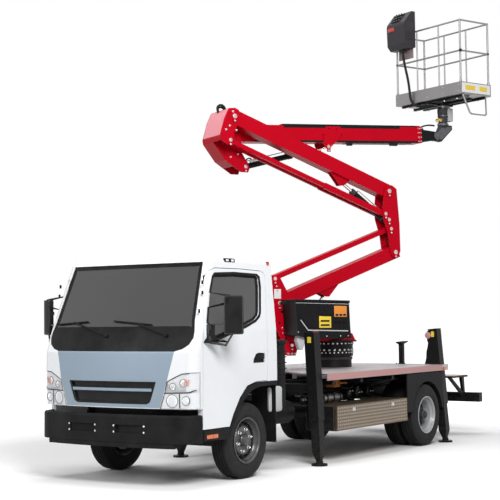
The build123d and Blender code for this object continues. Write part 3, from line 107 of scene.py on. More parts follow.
class TruckSizes(bpy.types.PropertyGroup):
    """Sizes of the studio and of the finest details."""

    lens: FloatProperty(name="Lens", description="Camera lens in millimetres on a 36 mm sensor", default=92.2,
                        min=10.0, max=300.0)
    floor: FloatProperty(name="Floor", description="Side of the floor", default=160.0, min=10.0,
                         unit="LENGTH")
    edge: FloatProperty(name="Edge", description="Radius that softens the painted edges", default=0.004,
                        min=0.0, unit="LENGTH")
    lozenge: FloatProperty(name="Lozenge", description="Pitch of the chequer plate", default=0.034, min=0.01,
                           unit="LENGTH")
    lugs: IntProperty(name="Lugs", description="Tread blocks round a tyre", default=64, min=8)


# Shader helpers

class Nodes:
    """A node tree with short ways to add and join nodes."""

    def __init__(self, tree):
        self.tree = tree

    def add(self, kind, inputs=None, **settings):
        """Adds a node; an input may be a value or another node's output."""
        node = self.tree.nodes.new(kind)
        for key, value in settings.items():
            setattr(node, key, value)
        for key, value in (inputs or {}).items():
            self.put(node, key, value)
        return node

    def put(self, node, key, value):
        """Sets or joins one input."""
        if isinstance(value, bpy.types.NodeSocket):
            self.tree.links.new(value, node.inputs[key])
        else:
            node.inputs[key].default_value = value

    def spread(self, value, low, high, out_low=0.0, out_high=1.0):
        """Maps a range of a value onto another."""
        node = self.add("ShaderNodeMapRange", {"Value": value, "From Min": low, "From Max": high,
                                               "To Min": out_low, "To Max": out_high})
        return node.outputs["Result"]

    def sums(self, operation, first, second=0.0):
        """One sum."""
        node = self.add("ShaderNodeMath", {0: first, 1: second}, operation=operation)
        return node.outputs[0]

    def seen(self):
        """One where a ray shows the object plainly, nought where it only lights it."""
        path = self.add("ShaderNodeLightPath").outputs
        straight = self.sums("MAXIMUM", path["Is Camera Ray"], path["Is Transmission Ray"])
        return self.sums("MAXIMUM", straight, path["Is Glossy Ray"])


class Shader(Nodes):
    """A material's node tree."""

    def __init__(self, name):
        self.material = bpy.data.materials.new(name)
        self.material.use_nodes = True
        super().__init__(self.material.node_tree)
        self.surface = self.tree.nodes["Principled BSDF"]
        self.output = self.tree.nodes["Material Output"]
        self.coords = self.add("ShaderNodeTexCoord").outputs["Object"]

    def set(self, **values):
        """Sets inputs of the surface, with spaces written as underscores."""
        for key, value in values.items():
            name = key.replace("_", " ")
            if isinstance(value, tuple) and len(value) == 3:
                value = (*value, 1.0)
            self.put(self.surface, name, value)
        return self

    def noise(self, scale, detail=3.0, rough=0.55, coords=None):
        """Noise over the object."""
        node = self.add("ShaderNodeTexNoise", {"Vector": coords or self.coords, "Scale": scale,
                                               "Detail": detail, "Roughness": rough})
        return node.outputs["Fac"]

    def mix(self, share, first, second):
        """A mix of two colours."""
        node = self.add("ShaderNodeMix", data_type="RGBA")
        self.put(node, 0, share)
        self.put(node, 6, (*first, 1.0) if isinstance(first, tuple) else first)
        self.put(node, 7, (*second, 1.0) if isinstance(second, tuple) else second)
        return node.outputs[2]

    def axis(self, index):
        """One coordinate of the place."""
        node = self.add("ShaderNodeSeparateXYZ", {0: self.coords})
        return node.outputs[index]

    def bump(self, height, strength, distance, normal=None):
        """Bump from a height."""
        inputs = {"Height": height, "Strength": strength, "Distance": distance}
        if normal is not None:
            inputs["Normal"] = normal
        return self.add("ShaderNodeBump", inputs).outputs["Normal"]

    def soft_edges(self, radius):
        """A normal that rounds the sharp edges."""
        return self.add("ShaderNodeBevel", {"Radius": radius}, samples=4).outputs["Normal"]


def darker(colour, share):
    """A colour made darker by a share."""
    return tuple(channel * share for channel in colour)


def around(count, phase=0.0):
    """Level ways at even steps round a circle."""
    for index in range(count):
        angle = math.tau * (index + phase) / count
        yield Vector((math.cos(angle), math.sin(angle), 0))


def blend_to(colour, other, share):
    """A colour moved towards another."""
    return tuple(a + (b - a) * share for a, b in zip(colour, other))


FINISHES = {}


def paint(name, colour, rough=0.3, coat=0.35, dust=0.25, grain=0.02, shine=0.5):
    """Gloss paint with a faint ripple, a little uneven and dusty low down."""
    edge = bpy.context.scene.truck_sizes.edge
    shader = Shader(name)
    cloud = shader.noise(1.7, 4.0)
    fine = shader.noise(23.0, 4.0)
    tone = shader.mix(shader.spread(cloud, 0.35, 0.7), colour, darker(colour, 0.93))
    low = shader.spread(shader.axis(2), 1.2, 0.2)
    dusty = shader.sums("MULTIPLY", shader.sums("MULTIPLY", low, shader.spread(fine, 0.3, 0.75)), dust)
    tone = shader.mix(dusty, tone, (0.2, 0.19, 0.175))
    ripple = shader.bump(shader.noise(170.0, 2.0), grain, 0.001, shader.soft_edges(edge))
    shader.set(Base_Color=tone, Roughness=shader.spread(fine, 0.2, 0.8, rough * 0.96, rough * 1.04),
               Coat_Weight=coat, Coat_Roughness=0.08, Specular_IOR_Level=shine, Normal=ripple)
    return shader.material


def moulded(name, colour, rough=0.55, grain=0.12, scale=420.0, shine=0.07):
    """Moulded plastic with a fine grain."""
    shader = Shader(name)
    cloud = shader.noise(5.0, 4.0)
    tone = shader.mix(shader.spread(cloud, 0.3, 0.75), colour, blend_to(colour, (0.15, 0.15, 0.14), 0.08))
    pebbles = shader.bump(shader.noise(scale, 2.0), grain, 0.0006,
                          shader.soft_edges(bpy.context.scene.truck_sizes.edge * 0.8))
    shader.set(Base_Color=tone, Roughness=shader.spread(cloud, 0.2, 0.8, rough * 0.9, rough * 1.1),
               Specular_IOR_Level=shine, Normal=pebbles)
    return shader.material


def rubber(name, colour=(0.018, 0.018, 0.019)):
    """Tyre rubber, greyer where it is worn and dusty."""
    shader = Shader(name)
    cloud = shader.noise(9.0, 5.0)
    tone = shader.mix(shader.spread(cloud, 0.35, 0.75), colour, (0.03, 0.029, 0.028))
    fine = shader.bump(shader.noise(260.0, 3.0), 0.15, 0.0008)
    shader.set(Base_Color=tone, Roughness=0.72, Specular_IOR_Level=0.15, Normal=fine)
    return shader.material


def bare_metal(name, colour, rough=0.3, brushed=0.0, scale=60.0):
    """Bare metal, brushed or plain."""
    shader = Shader(name)
    stretch = shader.add("ShaderNodeMapping", {"Vector": shader.coords, "Scale": (1.0, 1.0, 12.0)})
    fine = shader.noise(scale, 4.0, coords=stretch.outputs["Vector"])
    cloud = shader.noise(3.0, 3.0)
    tone = shader.mix(shader.spread(cloud, 0.3, 0.7), colour, darker(colour, 0.86))
    lines = shader.bump(fine, 0.05 + brushed, 0.0006, shader.soft_edges(0.003))
    uneven = shader.spread(fine, 0.25, 0.75, rough * 0.75, rough * 1.25)
    shader.set(Base_Color=tone, Metallic=1.0, Roughness=uneven, Normal=lines)
    return shader.material


def tinted_glass(name, colour=(0.042, 0.041, 0.042), clear=0.9):
    """Dark glass that lets a little of the inside show."""
    shader = Shader(name)
    cloud = shader.noise(0.9, 2.0)
    shader.set(Base_Color=shader.mix(cloud, colour, darker(colour, 0.8)), Roughness=0.04, Alpha=clear,
               Specular_IOR_Level=0.6, Coat_Weight=0.3, Coat_Roughness=0.02)
    return shader.material


def clear_lens(name):
    """Clear lamp cover."""
    shader = Shader(name)
    ribs = shader.add("ShaderNodeTexWave", {"Vector": shader.coords, "Scale": 22.0, "Distortion": 0.2})
    shader.set(Base_Color=(0.8, 0.83, 0.85), Roughness=0.05, Alpha=0.3, Coat_Weight=0.5, Coat_Roughness=0.03,
               Normal=shader.bump(ribs.outputs["Fac"], 0.06, 0.001))
    return shader.material


def woven(name, colour):
    """Woven seat cloth."""
    shader = Shader(name)
    across = shader.add("ShaderNodeTexWave", {"Vector": shader.coords, "Scale": 160.0}, bands_direction="X")
    along = shader.add("ShaderNodeTexWave", {"Vector": shader.coords, "Scale": 160.0}, bands_direction="Z")
    threads = shader.sums("MULTIPLY", across.outputs["Fac"], along.outputs["Fac"])
    tone = shader.mix(threads, darker(colour, 0.7), colour)
    shader.set(Base_Color=tone, Roughness=0.9, Sheen_Weight=0.3, Normal=shader.bump(threads, 0.3, 0.001))
    return shader.material


def glow(name, colour, rough=0.2, coat=0.6):
    """Coloured lamp plastic, never lit."""
    shader = Shader(name)
    cells = shader.add("ShaderNodeTexVoronoi", {"Vector": shader.coords, "Scale": 90.0})
    tone = shader.mix(cells.outputs["Distance"], colour, darker(colour, 0.55))
    shader.set(Base_Color=tone, Roughness=rough, Coat_Weight=coat, Coat_Roughness=0.05,
               Normal=shader.bump(cells.outputs["Distance"], 0.2, 0.001))
    return shader.material


def door_paint(name, colour, plastic):
    """White door paint, black on the mirror that stands off the door."""
    shader = Shader(name)
    centre = ORIGIN.x
    shift = shader.sums("SUBTRACT", shader.axis(0), centre)
    out = shader.sums("ABSOLUTE", shift)
    black = shader.sums("GREATER_THAN", out, 0.992)
    cloud = shader.noise(1.7, 4.0)
    white = shader.mix(shader.spread(cloud, 0.35, 0.7), colour, darker(colour, 0.93))
    ripple = shader.bump(shader.noise(170.0, 2.0), 0.02, 0.001, shader.soft_edges(0.004))
    shader.set(Base_Color=shader.mix(black, white, plastic),
               Roughness=shader.spread(black, 0.0, 1.0, 0.3, 0.5), Coat_Weight=0.3, Coat_Roughness=0.08,
               Normal=ripple)
    return shader.material


def finishes():
    """Makes every finish."""
    colours = bpy.context.scene.truck_colours
    black = tuple(colours.black)
    plastic = tuple(colours.plastic)
    cab = tuple(colours.cab)
    table = (
        # name, slot, maker, then the maker's values
        ("cab_paint", "cab_white", paint, cab, 0.28, 0.4, 0.12, 0.012),
        ("door_paint", "cab_white", door_paint, cab, plastic),
        ("panel_paint", "panel_grey", paint, tuple(colours.panel), 0.3, 0.4, 0.1, 0.012),
        ("boom_paint", "boom_red", paint, tuple(colours.boom), 0.36, 0.03, 0.01, 0.004, 0.06),
        ("black_paint", "chassis_black", paint, black, 0.45, 0.03, 0.1, 0.01, 0.1),
        ("grey_paint", "control_grey", paint, (0.03, 0.028, 0.032), 0.42, 0.05, 0.05, 0.02, 0.15),
        ("black_plastic", "black_plastic", moulded, plastic),
        ("gloss_black", "black_plastic", moulded, darker(plastic, 0.6), 0.2, 0.02, 420.0, 0.12),
        ("tyre_rubber", "tyre", rubber),
        ("rim_black", "rim_black", paint, (0.022, 0.022, 0.025), 0.38, 0.2, 0.25, 0.03),
        ("rim_silver", "rim_silver", paint, (0.42, 0.43, 0.44), 0.4, 0.2, 0.3, 0.03),
        ("steel", "rod_chrome", bare_metal, (0.55, 0.55, 0.56), 0.32),
        ("chrome", "rod_chrome", bare_metal, (0.82, 0.82, 0.83), 0.08),
        ("cast", "cast_steel", moulded, (0.05, 0.05, 0.055), 0.6, 0.3, 160.0),
        ("aluminium", "basket_aluminium", bare_metal, (0.28, 0.27, 0.275), 0.48, 0.06, 40.0),
        ("deck_plate", "deck_plate", bare_metal, (0.45, 0.42, 0.43), 0.44, 0.06, 30.0),
        ("locker_plate", "deck_plate", bare_metal, (0.19, 0.15, 0.11), 0.48, 0.05, 30.0),
        ("glass", "glass", tinted_glass),
        ("lens", "lamp", clear_lens),
        ("amber", "lamp", glow, tuple(colours.signal)),
        ("red_lamp", "lamp", glow, (0.55, 0.01, 0.01)),
        ("yellow_paint", "cabinet_black", paint, tuple(colours.yellow), 0.35, 0.3, 0.1, 0.02),
        ("amber_paint", "cabinet_black", paint, (0.75, 0.25, 0.02), 0.35, 0.3, 0.1, 0.02),
        ("cloth", "seat_fabric", woven, (0.06, 0.06, 0.065)),
        ("trim_grey", "interior_grey", moulded, (0.09, 0.09, 0.095), 0.6),
        ("hose_rubber", "black_plastic", moulded, (0.016, 0.016, 0.017), 0.5, 0.1, 300.0),
        ("brass", "rod_chrome", bare_metal, (0.62, 0.42, 0.16), 0.3),
        ("reflector", "lamp", paint, (0.8, 0.81, 0.83), 0.18, 0.5, 0.02, 0.01),
        ("mirror_face", "lamp", bare_metal, (0.75, 0.77, 0.8), 0.04),
        ("trim_light", "interior_grey", moulded, (0.55, 0.56, 0.57), 0.45),
        ("edge_paint", "deck_plate", paint, (0.52, 0.25, 0.24), 0.4, 0.1, 0.1, 0.02),
        # painted highlight: a paler copy of the locker plate's colour for the lit tops of its lozenges
        ("locker_lozenge", "deck_plate", paint, (0.5, 0.44, 0.37), 0.34, 0.1, 0.02, 0.01, 0.2),
        ("plate_white", "cab_white", paint, (0.8, 0.8, 0.79), 0.4, 0.1, 0.02, 0.01),
        ("red_hose", "black_plastic", moulded, (0.45, 0.02, 0.02), 0.45),
        ("rust_block", "cast_steel", moulded, (0.42, 0.16, 0.04), 0.6),
        # painted highlight: a pale pink copy of the boom red, for the light on the back face of the head
        ("head_pink", "boom_red", paint, (0.78, 0.22, 0.27), 0.35, 0.3, 0.02, 0.008),
        ("nose_grey", "cast_steel", paint, (0.085, 0.085, 0.095), 0.45, 0.15, 0.02, 0.02),
        ("bracket_brown", "control_grey", paint, (0.21, 0.16, 0.16), 0.5, 0.05, 0.02, 0.02),
    )
    for name, slot, maker, *values in table:
        FINISHES[name] = maker(name, *values)


NODES_OF = {
    "black_paint": "chassis_frame subframe outrigger_frames leg_front_left leg_front_right"
                   " leg_rear_left leg_rear_right rear_step tanks control_cabinet tele_inner"
                   " lower_jack_barrel link_jack_barrel luff_jack_barrel",
    "deck_plate": "deck",
    "cast": "drivetrain front_axle leaf_springs knuckle_left knuckle_right rear_axle levelling_bracket",
    "rim_black": "rim_front_left rim_front_right",
    "rim_silver": "rim_rear_left rim_rear_right",
    "tyre_rubber": "tyre_front_left tyre_front_right tyres_rear_left tyres_rear_right",
    "black_plastic": "mudguards bumper",
    "locker_plate": "locker locker_door",
    "cab_paint": "cab_shell",
    "glass": "cab_glass door_glass_left door_glass_right",
    "panel_paint": "front_panel",
    "gloss_black": "grille",
    "lens": "headlamps",
    "trim_grey": "cab_interior",
    "cloth": "seats",
    "door_paint": "door_left door_right",
    "boom_paint": "tower lower_arm lower_tie link upper_arm upper_tie boom_head tele_outer",
    "aluminium": "basket_floor basket_cage",
    "grey_paint": "basket_controls",
    "chrome": "lower_jack_rod link_jack_rod luff_jack_rod",
}
NODE_FINISH = {node: finish for finish, nodes in NODES_OF.items() for node in nodes.split()}


class TruckNodeFinishes(bpy.types.Operator):
    """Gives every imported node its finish"""

    bl_idname = "truck.node_finishes"
    bl_label = "Node finishes"

    def execute(self, context):
        finishes()
        for name, node in frame["nodes"].items():
            material = FINISHES[NODE_FINISH[name]]
            node.data.materials.clear()
            node.data.materials.append(material)
        return {"FINISHED"}


# Mesh helpers

def bevelled(bm, edges, radius, segments=2):
    """Bevels some edges."""
    if radius > 0.0:
        bmesh.ops.bevel(bm, geom=list(edges), offset=radius, offset_type="OFFSET", segments=segments,
                        profile=0.5, affect="EDGES", material=-1, clamp_overlap=True)


def add_box(bm, low, high, radius=0.0, segments=2, turn=None):
    """Adds a box between two corners, with rounded edges."""
    low = Vector(low)
    high = Vector(high)
    made = bmesh.ops.create_cube(bm, size=1.0)["verts"]
    bmesh.ops.scale(bm, verts=made, vec=high - low)
    if turn is not None:
        bmesh.ops.transform(bm, verts=made, matrix=turn)
    bmesh.ops.translate(bm, verts=made, vec=(low + high) / 2)
    bevelled(bm, {edge for vert in made for edge in vert.link_edges}, radius, segments)


def add_boxes(bm, *rows):
    """Adds boxes of truck places: low corner, high corner and edge radius."""
    for low, high, radius in rows:
        add_box(bm, at(*low), at(*high), radius)


def add_block(bm, centre, half, radius=0.0, turn=None, segments=2):
    """Adds a box about its middle, from its half sizes."""
    half = Vector(half)
    add_box(bm, centre - half, centre + half, radius, segments, turn)


def side_box(bm, side, low, high, radius=0.0):
    """Adds a box given on the truck's left, on either side."""
    x0, x1 = sorted((side * low[0], side * high[0]))
    add_box(bm, at(x0, *low[1:]), at(x1, *high[1:]), radius)


def add_rod(bm, start, end, radius, tip=None, steps=16, chamfer=0.0):
    """Adds a round bar or a cone between two places."""
    start = Vector(start)
    run = Vector(end) - start
    made = bmesh.ops.create_cone(bm, cap_ends=True, segments=steps, radius1=radius,
                                 radius2=radius if tip is None else tip, depth=run.length)["verts"]
    turn = run.to_track_quat("Z", "Y").to_matrix().to_4x4()
    bmesh.ops.transform(bm, verts=made, matrix=Matrix.Translation(start + run / 2) @ turn)
    if chamfer > 0.0:
        rims = {edge for vert in made for edge in vert.link_edges
                if len(edge.link_faces) == 2 and any(len(face.verts) > 4 for face in edge.link_faces)}
        bevelled(bm, rims, chamfer)


def add_nut(bm, place, axis, width, height, stud=0.4):
    """Adds a hexagon nut on its washer, with the end of its stud."""
    place = Vector(place)
    axis = Vector(axis).normalized()
    add_rod(bm, place, place + axis * height * 0.15, width * 0.66, steps=14)
    add_rod(bm, place, place + axis * height, width * 0.56, steps=6, chamfer=width * 0.05)
    add_rod(bm, place, place + axis * height * (1.0 + stud), width * 0.26, steps=8)


def add_lathe(bm, profile, centre, axis, steps=64):
    """Spins a closed profile of (distance along the axis, radius)."""
    centre = Vector(centre)
    axis = Vector(axis).normalized()
    side = axis.orthogonal().normalized()
    verts = [bm.verts.new(centre + axis * along + side * radius) for along, radius in profile]
    edges = [bm.edges.new((verts[i], verts[(i + 1) % len(verts)])) for i in range(len(verts))]
    bmesh.ops.spin(bm, geom=verts + edges, cent=centre, axis=axis, angle=math.tau, steps=steps,
                   use_merge=True)


def add_plate(bm, corners, thickness, radius=0.0, segments=2):
    """Adds a plate from the corners of one face and a thickness."""
    verts = [bm.verts.new(Vector(corner)) for corner in corners]
    face = bm.faces.new(verts)
    grown = bmesh.ops.extrude_face_region(bm, geom=[face])["geom"]
    moved = [item for item in grown if isinstance(item, bmesh.types.BMVert)]
    bmesh.ops.translate(bm, verts=moved, vec=Vector(thickness))
    edges = {edge for vert in verts + moved for edge in vert.link_edges}
    bevelled(bm, edges, radius, segments)


def add_ball(bm, centre, radius, steps=16):
    """Adds a ball."""
    made = bmesh.ops.create_uvsphere(bm, u_segments=steps, v_segments=steps // 2, radius=radius)["verts"]
    bmesh.ops.translate(bm, verts=made, vec=Vector(centre))


def add_pipe(bm, points, radius, bend=0.0, steps=10):
    """Adds a tube along some places; a bend rounds its corners."""
    data = bpy.data.curves.new("pipe", "CURVE")
    data.dimensions = "3D"
    data.bevel_depth = radius
    data.bevel_resolution = max(1, (steps - 4) // 4)
    data.use_fill_caps = True
    spline = data.splines.new("NURBS" if bend > 0.0 else "POLY")
    spline.points.add(len(points) - 1)
    for point, place in zip(spline.points, points):
        point.co = (*place, 1.0)
    if bend > 0.0:
        spline.order_u = min(4, len(points))
        spline.use_endpoint_u = True
        spline.resolution_u = 6
    holder = bpy.data.objects.new("pipe", data)
    mesh = bpy.data.meshes.new_from_object(holder)
    bm.from_mesh(mesh)
    bpy.data.objects.remove(holder)
    bpy.data.curves.remove(data)
    bpy.data.meshes.remove(mesh)


def add_piece(name, bm, finish, body="chassis", replaces=(), angle=35.0):
    """Turns a bmesh into a piece with its finish, riding on its body."""
    bmesh.ops.remove_doubles(bm, verts=bm.verts, dist=0.00001)
    bmesh.ops.recalc_face_normals(bm, faces=bm.faces)
    mesh = bpy.data.meshes.new(name)
    bm.to_mesh(mesh)
    bm.clear()
    return finish_mesh(name, mesh, finish, body, replaces, angle)


def finish_mesh(name, mesh, finish, body, replaces=(), angle=35.0):
    """Turns a mesh into a piece with its finish, riding on its body."""
    mesh.polygons.foreach_set("use_smooth", [True] * len(mesh.polygons))
    mesh.set_sharp_from_angle(angle=math.radians(angle))
    mesh.materials.clear()
    mesh.materials.append(FINISHES[finish])
    piece = bpy.data.objects.new(name, mesh)
    bpy.context.scene.collection.objects.link(piece)
    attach(piece, body)
    if replaces:
        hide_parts(*replaces)
    return piece


# Wheels

TYRE_MESH = {}
TYRE = {"radius": 0.385, "half": 0.1025, "flange": 0.224, "bead": 0.206}
FRONT_X = 0.808
REAR_X = (0.905, 0.665)
WHEEL_Z = 0.385
REAR_Y = REAR_WHEEL.y - ORIGIN.y


def tyre_section():
    """A tyre's cross section round from bead to bead, with four grooves in the tread."""
    half = TYRE["half"]
    top = TYRE["radius"]
    wall = [(0.08, 0.2065), (0.083, 0.228), (0.092, 0.24), (0.1005, 0.268), (half, 0.296), (0.1005, 0.326),
            (0.0975, 0.345), (0.0915, 0.3605), (0.083, 0.3715), (0.077, top - 0.0065)]
    tread = []
    for groove in (0.052, 0.018, -0.018, -0.052):
        tread += [(groove + 0.005, top - 0.003), (groove + 0.0035, top - 0.012),
                  (groove - 0.0035, top - 0.012), (groove - 0.005, top - 0.003)]
    far = [(-x, r) for x, r in reversed(wall)]
    inner = [(-0.07, 0.215), (-0.088, 0.29), (-0.075, 0.352), (0.075, 0.352), (0.088, 0.29), (0.07, 0.215)]
    return wall + tread + far + inner


def add_tyre(bm, centre, lugs):
    """Adds one tyre with its sidewall rings and tread blocks."""
    axis = Vector((1, 0, 0))
    add_lathe(bm, tyre_section(), centre, axis, 96)
    for side in (-1, 1):
        for radius, width in ((0.3, 0.0012), (0.262, 0.0016)):
            out = 0.1015 if radius > 0.28 else 0.0985
            ring = [(side * out, radius - width), (side * (out + 0.0022), radius - width * 0.4),
                    (side * (out + 0.0022), radius + width * 0.4), (side * out, radius + width)]
            add_lathe(bm, ring, centre, axis, 72)
    ribs = ((-0.065, 0.02), (-0.035, 0.023), (0.0, 0.024), (0.035, 0.023), (0.065, 0.02))
    length = math.tau * TYRE["radius"] / lugs * 0.4
    corners = [(a, b, c) for a in (-0.5, 0.5) for b in (-length, length) for c in (-0.008, 0.0)]
    faces = ((0, 1, 3, 2), (4, 6, 7, 5), (0, 4, 5, 1), (2, 3, 7, 6), (1, 5, 7, 3))
    for index in range(lugs):
        angle = math.tau * index / lugs
        for number, (place, width) in enumerate(ribs):
            turn = Matrix.Rotation(angle + (number % 2) * math.pi / lugs, 3, "X")
            high = TYRE["radius"] - (0.0008 if abs(place) < 0.05 else 0.0035)
            block = [bm.verts.new(centre + turn @ Vector((place + a * width, b, high + c)))
                     for a, b, c in corners]
            for face in faces:
                bm.faces.new([block[corner] for corner in face])


def tyre_piece(name, places, lugs, body, replaces):
    """One wheel's tyres, copied from one tyre mesh."""
    if "tyre" not in TYRE_MESH:
        bm = bmesh.new()
        add_tyre(bm, Vector(), lugs)
        mesh = bpy.data.meshes.new("tyre")
        bm.to_mesh(mesh)
        bm.free()
        TYRE_MESH["tyre"] = mesh
    bm = bmesh.new()
    for place in places:
        before = len(bm.verts)
        bm.from_mesh(TYRE_MESH["tyre"])
        bm.verts.ensure_lookup_table()
        bmesh.ops.translate(bm, verts=bm.verts[before:], vec=place)
    return add_piece(name, bm, "tyre_rubber", body, replaces, 30.0)


def add_rim(bm, centre, side, disc, dish):
    """Adds a steel wheel: rim well, disc, and the swell round its hub."""
    flange = TYRE["flange"]
    well = [(0.092, flange + 0.008), (0.097, flange + 0.01), (0.0995, flange + 0.006),
            (0.098, flange - 0.004), (0.086, 0.211), (0.06, 0.204), (0.045, 0.19), (-0.045, 0.186),
            (-0.062, 0.204), (-0.086, 0.211), (-0.096, flange), (-0.092, flange + 0.008), (-0.084, flange),
            (-0.082, 0.2175), (-0.058, 0.2105), (-0.04, 0.195), (0.04, 0.198), (0.056, 0.2105),
            (0.082, 0.2175), (0.088, flange)]
    add_lathe(bm, [(side * x, r) for x, r in well], centre, (1, 0, 0), 72)
    face = [(disc - 0.03, 0.188), (disc - 0.012, 0.176), (disc + dish * 0.3, 0.16), (disc + dish, 0.142),
            (disc + dish, 0.084), (disc + dish - 0.006, 0.078), (disc + dish - 0.006, 0.03),
            (disc + dish - 0.016, 0.03), (disc + dish - 0.016, 0.084), (disc + dish - 0.012, 0.136),
            (disc - 0.02, 0.168), (disc - 0.04, 0.184)]
    add_lathe(bm, [(side * x, r) for x, r in face], centre, (1, 0, 0), 72)


HUBS = {
    # hub and brake drum: distance along the axle and radius
    "front": (((0.03, 0.0004), (0.03, 0.066), (0.062, 0.064), (0.07, 0.058), (0.088, 0.05), (0.092, 0.044),
               (0.094, 0.0004)),
              ((-0.075, 0.02), (-0.075, 0.165), (0.005, 0.165), (0.01, 0.02))),
    "rear": (((-0.34, 0.0004), (-0.34, 0.078), (-0.092, 0.078), (-0.06, 0.074), (0.01, 0.07), (0.04, 0.064),
              (0.064, 0.06), (0.068, 0.052), (0.07, 0.0004)),
             ((-0.335, 0.06), (-0.335, 0.168), (-0.23, 0.168), (-0.225, 0.06))),
}


def add_hub(bm, centre, side, end):
    """Adds a wheel's hub and brake drum."""
    for profile, steps in zip(HUBS[end], (40, 48)):
        add_lathe(bm, [(side * x, r) for x, r in profile], centre, (1, 0, 0), steps)


def nut_places(centre, side, out, radius, count, phase=0.0):
    """Places round a wheel's disc."""
    for index in range(count):
        angle = math.tau * (index + phase) / count
        yield centre + Vector((side * out, math.cos(angle) * radius, math.sin(angle) * radius))


class TruckWheels(bpy.types.Operator):
    """Makes the tyres and wheels"""

    bl_idname = "truck.wheels"
    bl_label = "Wheels"

    def execute(self, context):
        lugs = context.scene.truck_sizes.lugs
        for side, word in SIDES:
            self.front(side, word, lugs)
            self.rear(side, word, lugs)
        return {"FINISHED"}

    def front(self, side, word, lugs):
        """One front wheel."""
        centre = at(side * FRONT_X, 0.0, WHEEL_Z)
        body = "wheel_front_" + word
        tyre_piece("tyre_front_" + word + "_skin", [centre], lugs, body, ("tyre_front_" + word,))
        bm = bmesh.new()
        add_rim(bm, centre, side, 0.02, 0.03)
        add_hub(bm, centre, side, "front")
        add_piece("rim_front_" + word + "_skin", bm, "rim_black", body, ("rim_front_" + word,), 32.0)
        self.face("front_" + word, body, centre, side, (0.05, 0.024, 0.35, "chrome"),
                  (0.0385, 0.156, 12, 0.016))

    def rear(self, side, word, lugs):
        """One pair of rear wheels."""
        outer, inner = (at(side * x, REAR_Y, WHEEL_Z) for x in REAR_X)
        body = "wheels_rear_" + word
        tyre_piece("tyres_rear_" + word + "_skin", [outer, inner], lugs, body, ("tyres_rear_" + word,))
        bm = bmesh.new()
        add_rim(bm, outer, side, -0.06, -0.026)
        add_rim(bm, inner, side, 0.06, 0.026)
        add_piece("rims_rear_" + word + "_skin", bm, "rim_silver", body, ("rim_rear_" + word,), 32.0)
        add_hub(bm, outer, side, "rear")
        for place in nut_places(outer, side, 0.069, 0.04, 8):
            add_nut(bm, place, (side, 0, 0), 0.012, 0.008, 0.1)
        add_piece("hub_rear_" + word, bm, "rim_black", body)
        self.face("rear_" + word, body, outer, side, (-0.086, 0.03, 0.3, "steel"),
                  (-0.0665, 0.158, 10, 0.015))

    def face(self, words, body, centre, side, nuts, holes):
        """The nuts of one wheel's disc, and dark discs over its holes: painted shade for the dark inside the
        holes.
        """
        bm = bmesh.new()
        out, height, stud, finish = nuts
        for place in nut_places(centre, side, out, 0.111, 6, 0.25):
            add_nut(bm, place, (side, 0, 0), 0.026, height, stud)
        add_piece("nuts_" + words, bm, finish, body)
        # black discs on the wheel's face stand for its holes: painted shade, not cut openings
        out, ring, count, radius = holes
        for place in nut_places(centre, side, out, ring, count):
            add_rod(bm, place, place + Vector((side * 0.004, 0, 0)), radius, steps=14)
        add_piece("rim_hole_shade_" + words, bm, "gloss_black", body)


# Laying trims on the cab

class Skin:
    """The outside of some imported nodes, to lay trims on."""

    def __init__(self, *names):
        places = []
        faces = []
        for name in names:
            mesh = frame["nodes"][name].data
            start = len(places)
            places += [vert.co.copy() for vert in mesh.vertices]
            faces += [[start + index for index in face.vertices] for face in mesh.polygons]
        self.tree = BVHTree.FromPolygons(places, faces)

    def front(self, x, z):
        """The place and normal met from the front."""
        return self.tree.ray_cast(at(x, -3.0, z), Vector((0, 1, 0)))[:2]

    def side(self, side, y, z):
        """The place and normal met from one side."""
        return self.tree.ray_cast(at(side * 3.0, y, z), Vector((-side, 0, 0)))[:2]


def spaced(points, step=0.04, closed=False):
    """Points at even steps along straight runs."""
    ends = list(zip(points, points[1:] + points[:1] if closed else points[1:]))
    found = []
    for first, last in ends:
        run = math.hypot(last[0] - first[0], last[1] - first[1])
        count = max(1, round(run / step))
        found += [tuple(a + (b - a) * i / count for a, b in zip(first, last)) for i in range(count)]
    return found if closed else found + [points[-1]]


def add_ribbon(bm, hits, width, height, closed=False, sink=0.003):
    """Adds a low strip along places of a surface."""
    hits = [hit for hit in hits if hit[0] is not None]
    count = len(hits)
    rings = []
    for index, (place, normal) in enumerate(hits):
        before = hits[index - 1][0] if closed or index else place
        after = hits[(index + 1) % count][0] if closed or index < count - 1 else place
        across = (after - before).cross(normal).normalized() * width / 2
        up = normal * height
        down = normal * -sink
        corners = (across + down, across + up, up - across, down - across)
        rings.append([bm.verts.new(place + corner) for corner in corners])
    for index in range(count if closed else count - 1):
        first = rings[index]
        last = rings[(index + 1) % count]
        for side in range(4):
            bm.faces.new((first[side], first[(side + 1) % 4], last[(side + 1) % 4], last[side]))
    if not closed:
        bm.faces.new(rings[0])
        bm.faces.new(list(reversed(rings[-1])))


def grown(outline, by):
    """An outline with every side moved outwards by the same distance."""
    ends = list(zip(outline, outline[1:] + outline[:1]))
    way = 1 if sum(a[0] * b[1] - b[0] * a[1] for a, b in ends) > 0 else -1
    sides = []
    for first, last in ends:
        run = math.hypot(last[0] - first[0], last[1] - first[1])
        sides.append((way * (last[1] - first[1]) / run, -way * (last[0] - first[0]) / run))
    moved = []
    for index, (y, z) in enumerate(outline):
        before = sides[index - 1]
        after = sides[index]
        share = by / (1 + before[0] * after[0] + before[1] * after[1])
        moved.append((y + (before[0] + after[0]) * share, z + (before[1] + after[1]) * share))
    return moved


